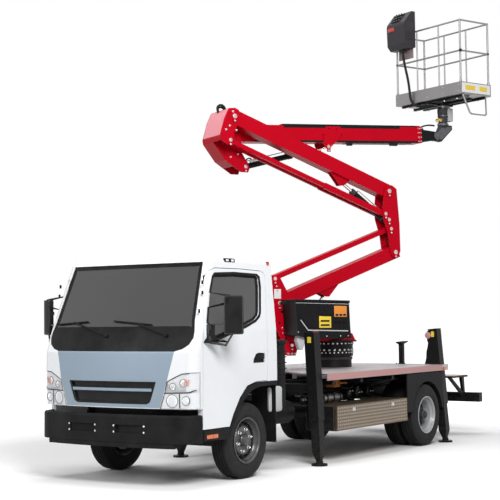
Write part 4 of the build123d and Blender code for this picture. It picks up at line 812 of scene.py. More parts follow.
WINDOW_LINE = [
    (-0.69, 1.408), (-0.748, 1.59), (-0.684, 1.84), (-0.6, 2.032), (-0.566, 2.062), (-0.236, 2.074),
    (0.168, 2.064), (0.204, 2.044), (0.21, 1.95), (0.172, 1.69), (0.15, 1.65), (0.081, 1.606),
    (-0.108, 1.546),
]
SCREEN_LINE = [(-0.842, 2.186), (0.842, 2.186), (0.905, 1.6), (0.925, 1.513), (-0.925, 1.513), (-0.905, 1.6)]
SAIL_LINE = [(-0.826, 1.525), (-0.752, 1.57), (-0.704, 1.405), (-0.42, 1.462), (-0.48, 1.425), (-0.69, 1.372),
             (-0.83, 1.395)]
LAMP_LINE = [(0.606, 0.762), (0.656, 0.911), (0.688, 1.022), (0.766, 1.061), (0.847, 1.097), (0.925, 1.104)]
WIPERS = (
    # blade, then arm down to its spindle
    (((-0.86, 1.578), (-0.42, 1.603)), ((-0.6, 1.592), (-0.11, 1.462))),
    (((-0.06, 1.606), (0.42, 1.568)), ((0.24, 1.58), (0.62, 1.466))),
)
LAMP_REFLECTORS = (
    # x, z, radius
    (0.735, 0.838, 0.058), (0.88, 0.842, 0.04), (0.745, 0.975, 0.03), (0.86, 1.01, 0.034),
)


def patch(bm, hits, height):
    """Adds a thin plate over places of a surface."""
    normal = sum((hit[1] for hit in hits), Vector()).normalized()
    add_plate(bm, [hit[0] - normal * 0.002 for hit in hits], normal * (height + 0.002))


class TruckCab(bpy.types.Operator):
    """Makes the cab's seals, wipers, lamps, handles and markers"""

    bl_idname = "truck.cab"
    bl_label = "Cab"

    def execute(self, context):
        shell = Skin("cab_shell", "front_panel", "grille", "headlamps", "cab_glass")
        glass = Skin("cab_glass")
        self.screen(shell, glass)
        self.lamps(shell)
        for side, word in SIDES:
            self.door(side, word)
            self.markers(shell, side, word)
        self.front(shell)
        return {"FINISHED"}

    def screen(self, shell, glass):
        """Windscreen surround and wipers."""
        bm = bmesh.new()
        for inset, width, height in ((0.022, 0.044, 0.0012), (0.004, 0.014, 0.0045)):
            line = spaced(grown(SCREEN_LINE, -inset), 0.05, True)
            add_ribbon(bm, [glass.front(x, z) for x, z in line], width, height, True)
        add_piece("screen_surround", bm, "gloss_black", angle=40.0)
        for blade, arm in WIPERS:
            hits = [shell.front(x, z) for x, z in spaced(list(blade), 0.05)]
            add_ribbon(bm, [(place + normal * 0.012, normal) for place, normal in hits], 0.01, 0.01,
                       sink=0.01)
            hits = [shell.front(x, z) for x, z in spaced(list(arm), 0.04)]
            lifts = [0.026] * (len(hits) - 2) + [0.018, 0.012]
            add_ribbon(bm, [(place + normal * lift, normal) for (place, normal), lift in zip(hits, lifts)],
                       0.016, 0.006)
            place, normal = shell.front(*arm[1])
            add_rod(bm, place - normal * 0.005, place + normal * 0.026, 0.022, 0.018, chamfer=0.003)
            middle, normal = shell.front(*arm[0])
            add_rod(bm, middle + normal * 0.008, middle + normal * 0.03, 0.01, chamfer=0.002)
        add_piece("wipers", bm, "black_plastic")

    def lamps(self, shell):
        """Housing, reflectors, indicator and dividing lines of the headlamps."""
        source = frame["nodes"]["headlamps"].data
        bm = bmesh.new()
        bm.from_mesh(source)
        bm.normal_update()
        bmesh.ops.remove_doubles(bm, verts=bm.verts, dist=0.00005)
        bm.normal_update()
        moves = [(vert, vert.normal * -0.01) for vert in bm.verts]
        for vert, move in moves:
            vert.co += move
        add_piece("lamp_housings", bm, "reflector", angle=30.0)
        bowls = bmesh.new()
        rings = bmesh.new()
        lines = bmesh.new()
        signals = bmesh.new()
        for side in (1, -1):
            for x, z, radius in LAMP_REFLECTORS:
                place, normal = shell.front(side * x, z)
                inner = place - normal * 0.01
                bowl = [(-0.006, 0.0004), (-0.003, radius * 0.6), (0.003, radius), (0.0045, radius),
                        (0.001, radius * 0.5), (-0.001, 0.0004)]
                add_lathe(bowls, bowl, inner, normal, 32)
                ring = [(0.0, radius), (0.007, radius), (0.007, radius + 0.008), (0.0, radius + 0.008)]
                add_lathe(rings, ring, inner, normal, 32)
            tier = [(side * x, z) for x, z in ((0.652, 0.912), (0.92, 0.92), (0.972, 0.945))]
            add_ribbon(lines, [shell.front(x, z) for x, z in spaced(tier, 0.03)], 0.01, 0.0015)
            upright = [(side * 0.818, 0.77), (side * 0.818, 0.908)]
            add_ribbon(lines, [shell.front(x, z) for x, z in spaced(upright, 0.03)], 0.008, 0.0012)
            edge = [(side * x, z) for x, z in LAMP_LINE]
            add_ribbon(lines, [shell.front(x, z) for x, z in spaced(edge, 0.03)], 0.006, 0.0012)
            for x in (0.872, 0.906):
                mark = [(side * x, 0.985), (side * (x + 0.012), 1.045)]
                hits = [shell.front(a, b) for a, b in spaced(mark, 0.02)]
                add_ribbon(signals, [(place - normal * 0.006, normal) for place, normal in hits], 0.018,
                           0.004)
        add_piece("lamp_bowls", bowls, "chrome")
        add_piece("lamp_rings", rings, "trim_grey")
        add_piece("lamp_lines", lines, "gloss_black")
        add_piece("lamp_signals", signals, "amber")

    def door(self, side, word):
        """Seal, corner plate, handle and mirror details of one door."""
        skin = Skin("door_" + word)
        body = "door_" + word
        bm = bmesh.new()
        line = spaced(grown(WINDOW_LINE, 0.006), 0.04, True)
        add_ribbon(bm, [skin.side(side, y, z) for y, z in line], 0.026, 0.004, True)
        inner = Skin("door_glass_" + word)
        line = spaced(grown(WINDOW_LINE, -0.014), 0.04, True)
        add_ribbon(bm, [inner.side(side, y, z) for y, z in line], 0.03, 0.003, True)
        add_piece("window_seal_" + word, bm, "black_plastic", body, angle=40.0)
        hits = [skin.side(side, y, z) for y, z in SAIL_LINE[:3] + SAIL_LINE[5:]]
        patch(bm, [hit for hit in hits if hit[0] is not None], 0.006)
        side_box(bm, side, (0.966, 0.02, 1.17), (0.97, 0.226, 1.268))
        side_box(bm, side, (0.969, 0.06, 1.205), (0.983, 0.222, 1.258), 0.006)
        add_rod(bm, at(side * 0.968, 0.2, 1.187), at(side * 0.974, 0.2, 1.187), 0.011)
        add_piece("handle_" + word, bm, "black_plastic", body)
        turn = Matrix.Rotation(math.radians(side * 30.0), 4, "Z")
        add_box(bm, at(side * 1.215 - 0.094, -0.679, 1.47), at(side * 1.215 + 0.094, -0.621, 1.848), 0.022, 3,
                turn)
        add_ball(bm, at(side * 1.15, -0.697, 1.368), 0.0115)
        for z in (1.405, 1.56):
            add_rod(bm, at(side * 1.01, -0.75, z), at(side * 1.026, -0.75, z), 0.014, chamfer=0.002)
        add_piece("mirror_" + word, bm, "black_plastic", body)
        back = turn.to_3x3() @ Vector((0.0, 0.0302, 0.0))
        middle = at(side * 1.215, -0.65, 1.659) + back
        for z, high in ((-0.055, 0.115), (0.125, 0.048)):
            centre = middle + UP * z
            add_block(bm, centre, (0.078, 0.001, high), 0.0, turn)
        add_piece("mirror_glass_" + word, bm, "mirror_face", body)
        hits = [skin.side(side, y, z) for y, z in ((-0.66, 1.395), (-0.44, 1.45), (-0.52, 1.405),
                                                   (-0.66, 1.37))]
        patch(bm, hits, 0.003)
        add_piece("mirror_foot_" + word, bm, "trim_light", body)

    def markers(self, shell, side, word):
        """Roof and sill markers, and the small catches of the pillar."""
        bm = bmesh.new()
        spot = shell.side(side, -0.29, 2.205)[0] - Vector((side * 0.006, 0, 0))
        add_box(bm, spot - Vector((0.016, 0.095, 0.022)), spot + Vector((0.016, 0.095, 0.024)), 0.012, 3)
        add_piece("roof_marker_" + word, bm, "gloss_black")
        for y in (-0.335, -0.245):
            add_box(bm, spot + Vector((side * 0.004 - 0.014, y + 0.29 - 0.026, -0.01)),
                    spot + Vector((side * 0.004 + 0.014, y + 0.29 + 0.026, 0.014)), 0.006)
        add_piece("roof_lens_" + word, bm, "reflector")
        place = shell.side(side, 0.392, 2.195)[0]
        add_box(bm, place - Vector((0.014, 0.02, 0.018)), place + Vector((0.014, 0.02, 0.02)), 0.006)
        add_piece("rear_marker_" + word, bm, "red_lamp")
        for x, y, z in ((0.93, -0.77, 1.98), (0.937, -0.779, 1.88), (0.953, -0.857, 1.7)):
            add_block(bm, at(side * x, y, z), (0.008, 0.01, 0.018), 0.004)
        add_piece("catches_" + word, bm, "black_plastic")
        for y0, y1 in ((-0.8, -0.7), (-0.695, -0.618)):
            side_box(bm, side, (0.984, y0, 0.466), (0.993, y1, 0.505), 0.005)
        add_piece("sill_marker_" + word, bm, "amber")

    def front(self, shell):
        """Bumper bolts, the bar of the grille and the clips along the front."""
        bm = bmesh.new()
        bumper = Skin("bumper")
        for side in (-1, 1):
            for x in (0.12, 0.48):
                for z in (0.535, 0.595):
                    place, normal = bumper.front(side * x, z)
                    add_rod(bm, place - normal * 0.002, place + normal * 0.004, 0.01, chamfer=0.002)
        add_piece("bumper_bolts", bm, "steel")
        line = [(-0.508, 0.94), (0.508, 0.94)]
        add_ribbon(bm, [shell.front(x, z) for x, z in spaced(line, 0.06)], 0.028, 0.007)
        add_piece("grille_bar", bm, "panel_paint")
        for x in (-0.53, -0.18, 0.18, 0.53):
            place, normal = shell.front(x, 1.42)
            add_rod(bm, place - normal * 0.002, place + normal * 0.0025, 0.008, chamfer=0.001)
        add_piece("front_clips", bm, "black_plastic")


# Seats

SEATS = (
    # low x, high x
    (0.18, 0.7), (-0.78, 0.06),
)


def cushion(bm, low, high, crown, turn=None, pivot=None):
    """Adds a crowned pad whose sides pull in between its corners."""
    low = Vector(low)
    high = Vector(high)
    middle = (low + high) / 2
    half = (high - low) / 2
    before = set(bm.verts)
    made = bmesh.ops.create_cube(bm, size=2.0)["verts"]
    edges = list({edge for vert in made for edge in vert.link_edges})
    bmesh.ops.subdivide_edges(bm, edges=edges, cuts=15, use_grid_fill=True)
    verts = [vert for vert in bm.verts if vert not in before]
    for vert in verts:
        x, y, z = vert.co
        flat = [(1.0 - x * x), (1.0 - y * y), (1.0 - z * z)]
        sixth = (abs(x) ** 6 + abs(y) ** 6 + abs(z) ** 6) ** (1.0 / 6.0)
        body = Vector((x, y, z)) * (0.9 / max(sixth, 0.001))
        swell = Vector((x * flat[1] * flat[2], y * flat[0] * flat[2], z * flat[0] * flat[1]))
        body += Vector((swell.x * 0.06, swell.y * 0.06, swell.z * crown))
        channel = 0.0
        for line in (-0.45, 0.0, 0.45):
            channel += math.exp(-((body.x - line) / 0.035) ** 2)
        if abs(z) > 0.9:
            body.z -= math.copysign(0.05 * channel * flat[1], z)
        vert.co = Vector((body.x * half.x, body.y * half.y, body.z * half.z))
    for vert in verts:
        if turn is not None:
            vert.co = turn @ vert.co
        vert.co += middle if pivot is None else pivot


class TruckInside(bpy.types.Operator):
    """Makes the seats, the dashboard's parts and the steering wheel"""

    bl_idname = "truck.inside"
    bl_label = "Inside"

    def execute(self, context):
        for number, (low, high) in enumerate(SEATS):
            bm = bmesh.new()
            cushion(bm, at(low, -0.372, 1.235), at(high, 0.14, 1.368), 0.1)
            turn = Matrix.Rotation(math.radians(-12.5), 3, "X")
            middle = at((low + high) / 2, 0.213, 1.62)
            size = Vector(((high - low) / 2, 0.06, 0.275))
            cushion(bm, middle - size, middle + size, 0.05, turn, middle)
            add_piece("seat_%d" % number, bm, "cloth", "chassis",
                                  ("seats",) if number == 0 else ())
        for low, high in SEATS:
            add_box(bm, at(low + 0.02, -0.35, 0.9755), at(high - 0.02, 0.13, 1.245), 0.015)
            for x in (low + 0.1, high - 0.1):
                add_rod(bm, at(x, 0.262, 1.87), at(x, 0.272, 1.925), 0.007)
        add_piece("seat_frames", bm, "trim_grey")
        for low, high in SEATS:
            count = 1 if high - low < 0.6 else 2
            for index in range(count):
                x = low + (high - low) * (index + 0.5) / count
                cushion(bm, at(x - 0.13, 0.235, 1.9), at(x + 0.13, 0.315, 2.06), 0.1)
        rest = add_piece("head_rests", bm, "cloth")
        hub = at(0.43, -0.5, 1.33)
        axis = Vector((0.0, 0.894, 0.447))
        rim = [(0.011 + 0.017 * math.sin(a), 0.2025 + 0.0165 * math.cos(a))
               for a in (math.tau * i / 12 for i in range(12))]
        add_lathe(bm, rim, hub, axis, 48)
        add_lathe(bm, [(0.002, 0.0004), (0.002, 0.07), (0.03, 0.055), (0.034, 0.0004)], hub, axis, 32)
        add_piece("steering_wheel", bm, "black_plastic")
        add_boxes(bm, ((-0.8, -0.655, 1.18), (-0.25, -0.628, 1.3), 0.01),
                  ((0.25, -0.66, 1.25), (0.62, -0.6, 1.372), 0.02))
        for x in (-0.15, 0.0, 0.15):
            add_box(bm, at(x - 0.06, -0.65, 1.23), at(x + 0.06, -0.634, 1.3), 0.006)
        add_piece("dashboard_parts", bm, "black_plastic")
        return {"FINISHED"}


# Deck and locker

DECK_X = 1.02
DECK_Y = (1.41, 4.446)
DECK_Z = 1.0
LEG_HOLES = ((0.915, 4.364), (-0.915, 4.364))


def on_deck(x, y):
    """Whether a place lies on the open deck."""
    if not (DECK_Y[0] + 0.03 < y < DECK_Y[1] - 0.03 and abs(x) < DECK_X - 0.025):
        return False
    if math.hypot(x, y - 3.25) < 0.275:
        return False
    if any(abs(x - leg[0]) < 0.095 and abs(y - leg[1]) < 0.085 for leg in LEG_HOLES):
        return False
    front = DECK_Y[0] + 0.09 + 0.35 * min(1.0, max(0.0, (0.6 - abs(x)) / 0.42))
    side = DECK_Y[0] + 0.09 * (DECK_X - abs(x)) / 0.42
    return y > (front if abs(x) < 0.6 else side) + 0.03


def lozenges(spots, along, across, up, size):
    """Raised lozenges of a chequer plate as one mesh's points and faces."""
    points = []
    faces = []
    length, width, height = size
    for place, way in spots:
        run = (along * way + across).normalized()
        beside = run.cross(up)
        start = len(points)
        for share, lift in ((1.0, -0.0003), (0.55, height)):
            for a, b in ((length, 0.0), (0.0, width), (-length, 0.0), (0.0, -width)):
                points.append(place + run * a * share * 0.5 + beside * b * share * 0.5 + up * lift)
        for side in range(4):
            after = (side + 1) % 4
            faces.append((start + side, start + after, start + 4 + after, start + 4 + side))
        faces.append((start + 4, start + 5, start + 6, start + 7))
    return points, faces


def grid(rows, columns):
    """The rows and columns of a chequer plate, with the way each lozenge leans."""
    for row in range(rows):
        for column in range(columns):
            yield row, column, 1 if (row + column) % 2 else -1


def chequer(name, spots, along, across, up, size, finish, body="chassis"):
    """A piece of raised lozenges."""
    points, faces = lozenges(spots, along, across, up, size)
    mesh = bpy.data.meshes.new(name)
    mesh.from_pydata(points, [], faces)
    bm = bmesh.new()
    bm.from_mesh(mesh)
    bpy.data.meshes.remove(mesh)
    return add_piece(name, bm, finish, body, angle=60.0)


class TruckDeck(bpy.types.Operator):
    """Makes the chequer plates, edges, posts and marks"""

    bl_idname = "truck.deck"
    bl_label = "Deck"

    def execute(self, context):
        pitch = context.scene.truck_sizes.lozenge
        spots = []
        for row, column, way in grid(int((DECK_Y[1] - DECK_Y[0]) / pitch), int(2 * DECK_X / pitch)):
            x = -DECK_X + (column + 0.5) * pitch
            y = DECK_Y[0] + (row + 0.5) * pitch
            if on_deck(x, y):
                spots.append((at(x, y, DECK_Z), way))
        chequer("deck_lozenges", spots, Vector((1, 0, 0)), Vector((0, 1, 0)), UP,
                (pitch * 0.72, pitch * 0.24, 0.0016), "deck_plate")
        self.locker(pitch * 1.25)
        self.edges()
        self.posts()
        return {"FINISHED"}

    def locker(self, pitch):
        """Face, frame, catches and end of the side locker."""
        spots = []
        y0, y1, z0, z1 = 1.585, 3.245, 0.366, 0.626
        rows = int((z1 - z0) / pitch * 1.18)
        columns = int((y1 - y0) / pitch)
        for row, column, way in grid(rows, columns):
            y = y0 + (column + 0.5) * (y1 - y0) / columns
            z = z0 + (row + 0.5) * (z1 - z0) / rows
            spots.append((at(1.038, y, z), way))
        # the lozenges are paler than the locker plate: painted highlight for the light on their raised tops
        chequer("locker_lozenges", spots, Vector((0, 1, 0)), UP, Vector((1, 0, 0)),
                (pitch * 0.92, pitch * 0.36, 0.0025), "locker_lozenge", "locker_door")
        bm = bmesh.new()
        for low, high in (((1.0375, 1.577, 0.359), (1.04, 3.253, 0.366)),
                          ((1.0375, 1.577, 0.625), (1.04, 3.253, 0.631))):
            add_box(bm, at(*low), at(*high))
        for y in (1.577, 3.247):
            add_box(bm, at(1.0375, y, 0.359), at(1.04, y + 0.006, 0.631))
        add_piece("locker_border", bm, "locker_plate", "locker_door")
        for y in (1.95, 2.88):
            add_box(bm, at(1.0375, y - 0.03, 0.56), at(1.044, y + 0.03, 0.6), 0.003)
            add_rod(bm, at(1.043, y, 0.58), at(1.0465, y, 0.58), 0.01, chamfer=0.001)
        add_piece("locker_catches", bm, "steel", "locker_door")
        add_box(bm, at(0.645, 1.5565, 0.362), at(1.0, 1.5602, 0.628))
        for x in (0.7, 0.95):
            for z in (0.4, 0.59):
                add_rod(bm, at(x, 1.5565, z), at(x, 1.552, z), 0.01, chamfer=0.002)
        add_piece("locker_end", bm, "black_paint")

    def edges(self):
        """Painted edges of the deck and of the rear step."""
        bm = bmesh.new()
        for side in (-1, 1):
            for y0, y1 in ((DECK_Y[0] + 0.01, 4.29), (4.438, 4.445)):
                side_box(bm, side, (DECK_X - 0.0005, y0, 0.927), (DECK_X + 0.0015, y1, 0.999))
        add_boxes(bm, ((-1.018, DECK_Y[1] - 0.0005, 0.927), (1.018, DECK_Y[1] + 0.0015, 0.999), 0.0),
                  ((-0.838, 4.992, 0.8148), (0.838, 5.428, 0.817), 0.0))
        add_piece("deck_edges", bm, "edge_paint")
        for side in (-1, 1):
            side_box(bm, side, (DECK_X + 0.001, 4.305, 0.892 + 0.03), (DECK_X + 0.008, 4.38, 0.966), 0.004)
        add_piece("deck_markers", bm, "amber")
        spots = [(at(-0.82 + column * 0.0349, 5.005 + row * 0.037, 0.817), way)
                 for row, column, way in grid(12, 48)]
        chequer("step_lozenges", spots, Vector((1, 0, 0)), Vector((0, 1, 0)), UP,
                (0.025, 0.008, 0.0014), "deck_plate")

    def posts(self):
        """Posts that stand on the deck, and the marks of the legs."""
        bm = bmesh.new()
        add_boxes(bm, ((0.345, 4.35, 1.0), (0.415, 4.42, 1.012), 0.003),
                  ((0.35, 4.355, 1.005), (0.41, 4.415, 1.262), 0.006))
        add_plate(bm, [at(0.34, 4.355, 1.255), at(0.34, 4.5, 1.286), at(0.34, 4.5, 1.3), at(0.34, 4.3, 1.29),
                       at(0.34, 4.3, 1.276), at(0.34, 4.355, 1.262)], (0.08, 0, 0), 0.003)
        for x in (0.33, 0.43):
            add_rod(bm, at(x, 4.33, 1.012), at(x, 4.33, 1.0), 0.01)
        add_piece("boom_rest", bm, "black_paint")
        add_box(bm, at(0.745, 0.69, 0.64), at(0.865, 0.815, 1.35), 0.03, 3)
        add_box(bm, at(0.735, 0.68, 1.335), at(0.875, 0.825, 1.392), 0.022, 3)
        for z in (1.02, 1.08, 1.14, 1.2, 1.26):
            add_box(bm, at(0.741, 0.686, z), at(0.869, 0.819, z + 0.012), 0.003)
        add_box(bm, at(0.378, 0.72, 0.69), at(0.75, 0.79, 0.74), 0.01)
        add_piece("air_intake", bm, "black_plastic")
        for side in (-1, 1):
            side_box(bm, side, (0.862, 1.2505, 1.345), (0.91, 1.2535, 1.411))
            side_box(bm, side, (0.856, 4.2995, 1.355), (0.9, 4.302, 1.425))
        add_piece("leg_marks", bm, "yellow_paint")
        for side in (-1, 1):
            profile = [(side * x, z) for x, z in ((0.832, 1.44), (0.8, 1.425), (0.792, 1.35), (0.812, 1.285),
                                                  (0.806, 1.235), (0.786, 1.16), (0.782, 1.08), (0.76, 1.003),
                                                  (0.857, 1.003), (0.85, 1.2), (0.842, 1.3))]
            corners = [at(x, 4.3, z) for x, z in profile]
            add_plate(bm, corners, (0, 0.012, 0))
            add_plate(bm, [corner + Vector((0, 0.116, 0)) for corner in corners], (0, 0.012, 0))
            side_box(bm, side, (0.79, 4.312, 1.29), (0.835, 4.416, 1.43), 0.01)
        add_piece("leg_stiffeners", bm, "black_paint")
        for side in (-1, 1):
            add_rod(bm, at(side * 0.812, 4.296, 1.375), at(side * 0.812, 4.3, 1.375), 0.042, steps=32,
                    chamfer=0.001)
        add_piece("leg_discs", bm, "edge_paint")


# Chassis gear under the deck

REAR_AXLE_GAP = (3.55, 4.15)
FRAME_HOSES = (
    # radius, then the places it runs through
    (0.016, ((0.64, 1.36, 0.8), (0.7, 1.5, 0.69), (0.64, 1.7, 0.74), (0.56, 1.9, 0.8))),
    (0.014, ((0.56, 2.4, 0.82), (0.64, 2.52, 0.73), (0.62, 2.7, 0.79), (0.5, 2.86, 0.82))),
    (0.014, ((0.46, 0.6, 0.7), (0.56, 0.7, 0.6), (0.54, 0.9, 0.54), (0.48, 1.04, 0.58))),
    (0.012, ((0.52, 1.12, 0.76), (0.64, 1.2, 0.7), (0.66, 1.3, 0.6), (0.56, 1.4, 0.56))),
)


class TruckGear(bpy.types.Operator):
    """Makes the pipes, cylinders and blocks below the deck"""

    bl_idname = "truck.gear"
    bl_label = "Chassis gear"

    def execute(self, context):
        self.cylinder()
        self.pipes()
        self.underneath()
        return {"FINISHED"}

    def cylinder(self):
        """The silver cylinder, the block beside it and the washer bottle."""
        bm = bmesh.new()
        axis = Vector((0, 1, 0))
        shell = [(-0.195, 0.0004), (-0.205, 0.02), (-0.2, 0.05), (-0.185, 0.057), (0.185, 0.057), (0.2, 0.05),
                 (0.205, 0.02), (0.195, 0.0004)]
        add_lathe(bm, shell, at(0.62, 2.13, 0.69), axis, 40)
        add_piece("silver_cylinder", bm, "aluminium")
        for y in (1.985, 2.13, 2.275):
            ring = [(-0.012, 0.0575), (-0.012, 0.061), (0.012, 0.061), (0.012, 0.0575)]
            add_lathe(bm, ring, at(0.62, y, 0.69), axis, 40)
            add_block(bm, at(0.53, y, 0.7), (0.1, 0.012, 0.025), 0.004)
        add_piece("cylinder_bands", bm, "black_paint")
        add_block(bm, at(0.76, 1.96, 0.862), (0.055, 0.07, 0.04), 0.008)
        for y in (1.92, 2.0):
            add_rod(bm, at(0.815, y, 0.86), at(0.83, y, 0.86), 0.016, chamfer=0.003)
        add_pipe(bm, [at(0.76, 2.03, 0.865), at(0.75, 2.12, 0.865), at(0.74, 2.3, 0.855)], 0.012, 1.0)
        add_piece("valve_block", bm, "rust_block")
        add_block(bm, at(0.88, 0.56, 0.77), (0.03, 0.115, 0.135), 0.03)
        add_piece("washer_bottle", bm, "trim_light")
        add_rod(bm, at(0.9, 0.52, 0.9), at(0.9, 0.52, 0.935), 0.022, chamfer=0.004)
        add_piece("bottle_cap", bm, "gloss_black")

    def pipes(self):
        """Hoses and cables that run along the frame."""
        bm = bmesh.new()
        for start, radius, sag in ((0.0, 0.013, 0.045), (0.032, 0.01, 0.06), (0.064, 0.012, 0.03)):
            x = 0.47 + start
            points = [at(x, 1.3 + 0.42 * step, 0.835 - (sag if step % 2 else 0.0) - start)
                      for step in range(7)]
            add_pipe(bm, points, radius, 1.0)
        for radius, points in FRAME_HOSES:
            add_pipe(bm, [at(*point) for point in points], radius, 1.0)
        add_piece("frame_hoses", bm, "hose_rubber")
        for y in (2.78, 3.06):
            add_rod(bm, at(0.52, y, 0.72), at(0.64, y, 0.72), 0.085, steps=32, chamfer=0.012)
            add_rod(bm, at(0.64, y, 0.72), at(0.652, y, 0.72), 0.03, steps=20, chamfer=0.003)
            add_block(bm, at(0.455, y, 0.72), (0.07, 0.035, 0.04), 0.006)
        add_rod(bm, at(0.43, 1.5, 0.7), at(0.64, 1.5, 0.7), 0.06, steps=28, chamfer=0.008)
        add_block(bm, at(0.56, 1.68, 0.735), (0.09, 0.08, 0.055), 0.01)
        add_block(bm, at(0.56, 2.56, 0.71), (0.08, 0.06, 0.045), 0.01)
        add_piece("frame_gear", bm, "gloss_black")
        for y, z in ((1.5, 0.7), (1.68, 0.78), (2.56, 0.745), (2.78, 0.72), (3.06, 0.72)):
            for up in (-0.03, 0.03):
                add_nut(bm, at(0.652, y + up, z), (1, 0, 0), 0.014, 0.01, 0.3)
        for y in (1.62, 1.74):
            add_rod(bm, at(0.6, y, 0.79), at(0.6, y, 0.82), 0.012, steps=12, chamfer=0.002)
        add_piece("frame_unions", bm, "steel")

    def underneath(self):
        """Spring bolts, and dark discs of painted shade over the rail holes."""
        bm = bmesh.new()
        # black discs on the rails stand for their holes: painted shade
        for side in (-1, 1):
            for index in range(26):
                y = 0.95 + index * 0.15
                if REAR_AXLE_GAP[0] < y < REAR_AXLE_GAP[1]:
                    continue
                x = side * 0.3852
                add_rod(bm, at(x - side * 0.0015, y, 0.66), at(x + side * 0.0012, y, 0.66), 0.01, steps=14)
        add_piece("rail_hole_shade", bm, "gloss_black")
        for side in (-1, 1):
            for y in (1.26, 1.48, 2.3, 3.3, 4.3, 4.7):
                for z in (0.7, 0.76):
                    add_nut(bm, at(side * 0.385, y, z), (side, 0, 0), 0.022, 0.012, 0.3)
        add_piece("rail_bolts", bm, "steel")


# Turret and boom details

NEAR = 0.225
FAR = 0.02
PINS = {
    "turret": ((-0.897, 1.804, 0.022), (-0.96, 2.105, 0.016), (-0.735, 1.29, 0.016)),
    "link": ((0.835, 2.455, 0.022), (0.772, 2.756, 0.016), (0.753, 3.241, 0.022), (0.691, 2.947, 0.016),
             (0.742, 2.872, 0.016)),
}
HEAD_PINS = ((-1.49, 4.07, 0.022), (-1.552, 3.776, 0.016))
TELE_PIVOT = (-1.38, 3.905)
TELE_RISE = math.radians(2.8)
LUFF_FOOT = (-1.235, 3.49)
LUFF_EYE = (-0.01, 3.806)
TELE_NEAR = -0.025
TELE_FAR = -0.235
JACK_LINES = {
    # name: foot, eye, middle n, barrel radius, barrel length
    "lower_jack": ((-0.735, 1.29), (-0.185, 1.912), 0.1225, 0.042, 0.64),
    "link_jack": ((0.742, 2.872), (0.095, 3.33), 0.1225, 0.038, 0.62),
    "luff_jack": ((-1.235, 3.49), (-0.01, 3.806), -0.13, 0.036, 0.76),
}


HEAD_HOSES = (
    # side place, radius, then the places of the loop
    (-0.05, 0.016, ((-1.56, 4.13), (-1.6, 4.2), (-1.56, 4.25), (-1.5, 4.24), (-1.47, 4.19), (-1.48, 4.12))),
    (-0.085, 0.012,
     ((-1.55, 4.12), (-1.58, 4.185), (-1.54, 4.23), (-1.48, 4.215), (-1.45, 4.16), (-1.455, 4.1))),
    (-0.13, 0.009, ((-1.171, 3.56), (-1.128, 3.64), (-1.076, 3.625), (-1.06, 3.58))),
)


def tele(distance, lift):
    """A boom place by the distance along the telescopic boom and the lift above its middle."""
    return (TELE_PIVOT[0] + distance * math.cos(TELE_RISE) - lift * math.sin(TELE_RISE),
            TELE_PIVOT[1] + distance * math.sin(TELE_RISE) + lift * math.cos(TELE_RISE))


def boom_slab(bm, outline, n0, n1, radius=0.0):
    """Adds a plate that lies in the plane of the boom."""
    add_plate(bm, [boom_at(s, n0, z) for s, z in outline], LIFT_AXIS * (n1 - n0), radius)


def tele_slab(bm, start, end, low, high, n0, n1, radius=0.0):
    """Adds a block in the telescopic boom's own axes."""
    boom_slab(bm, [tele(start, low), tele(end, low), tele(end, high), tele(start, high)], n0, n1, radius)


def pin_end(heads, keepers, place, n, way, radius):
    """Adds a pin's head with the keeper plate that holds it."""
    s, z = place
    axis = LIFT_AXIS * way
    centre = boom_at(s, n, z)
    add_rod(heads, centre - axis * 0.002, centre + axis * 0.01, radius + 0.006, steps=28, chamfer=0.002)
    add_rod(keepers, centre - axis * 0.001, centre + axis * 0.003, radius + 0.022, steps=32, chamfer=0.001)
    low = z - radius - 0.05
    boom_slab(keepers, [(s - 0.026, low), (s + 0.026, low), (s + 0.026, z - radius * 0.4),
                        (s - 0.026, z - radius * 0.4)], n + way * 0.003, n + way * 0.009, 0.001)
    add_nut(heads, boom_at(s, n + way * 0.009, low + 0.014), axis, 0.018, 0.009, 0.2)


def square(s0, s1, z0, z1):
    """A block's outline."""
    return (s0, z0), (s1, z0), (s1, z1), (s0, z1)


CABINET_FACE = 0.56
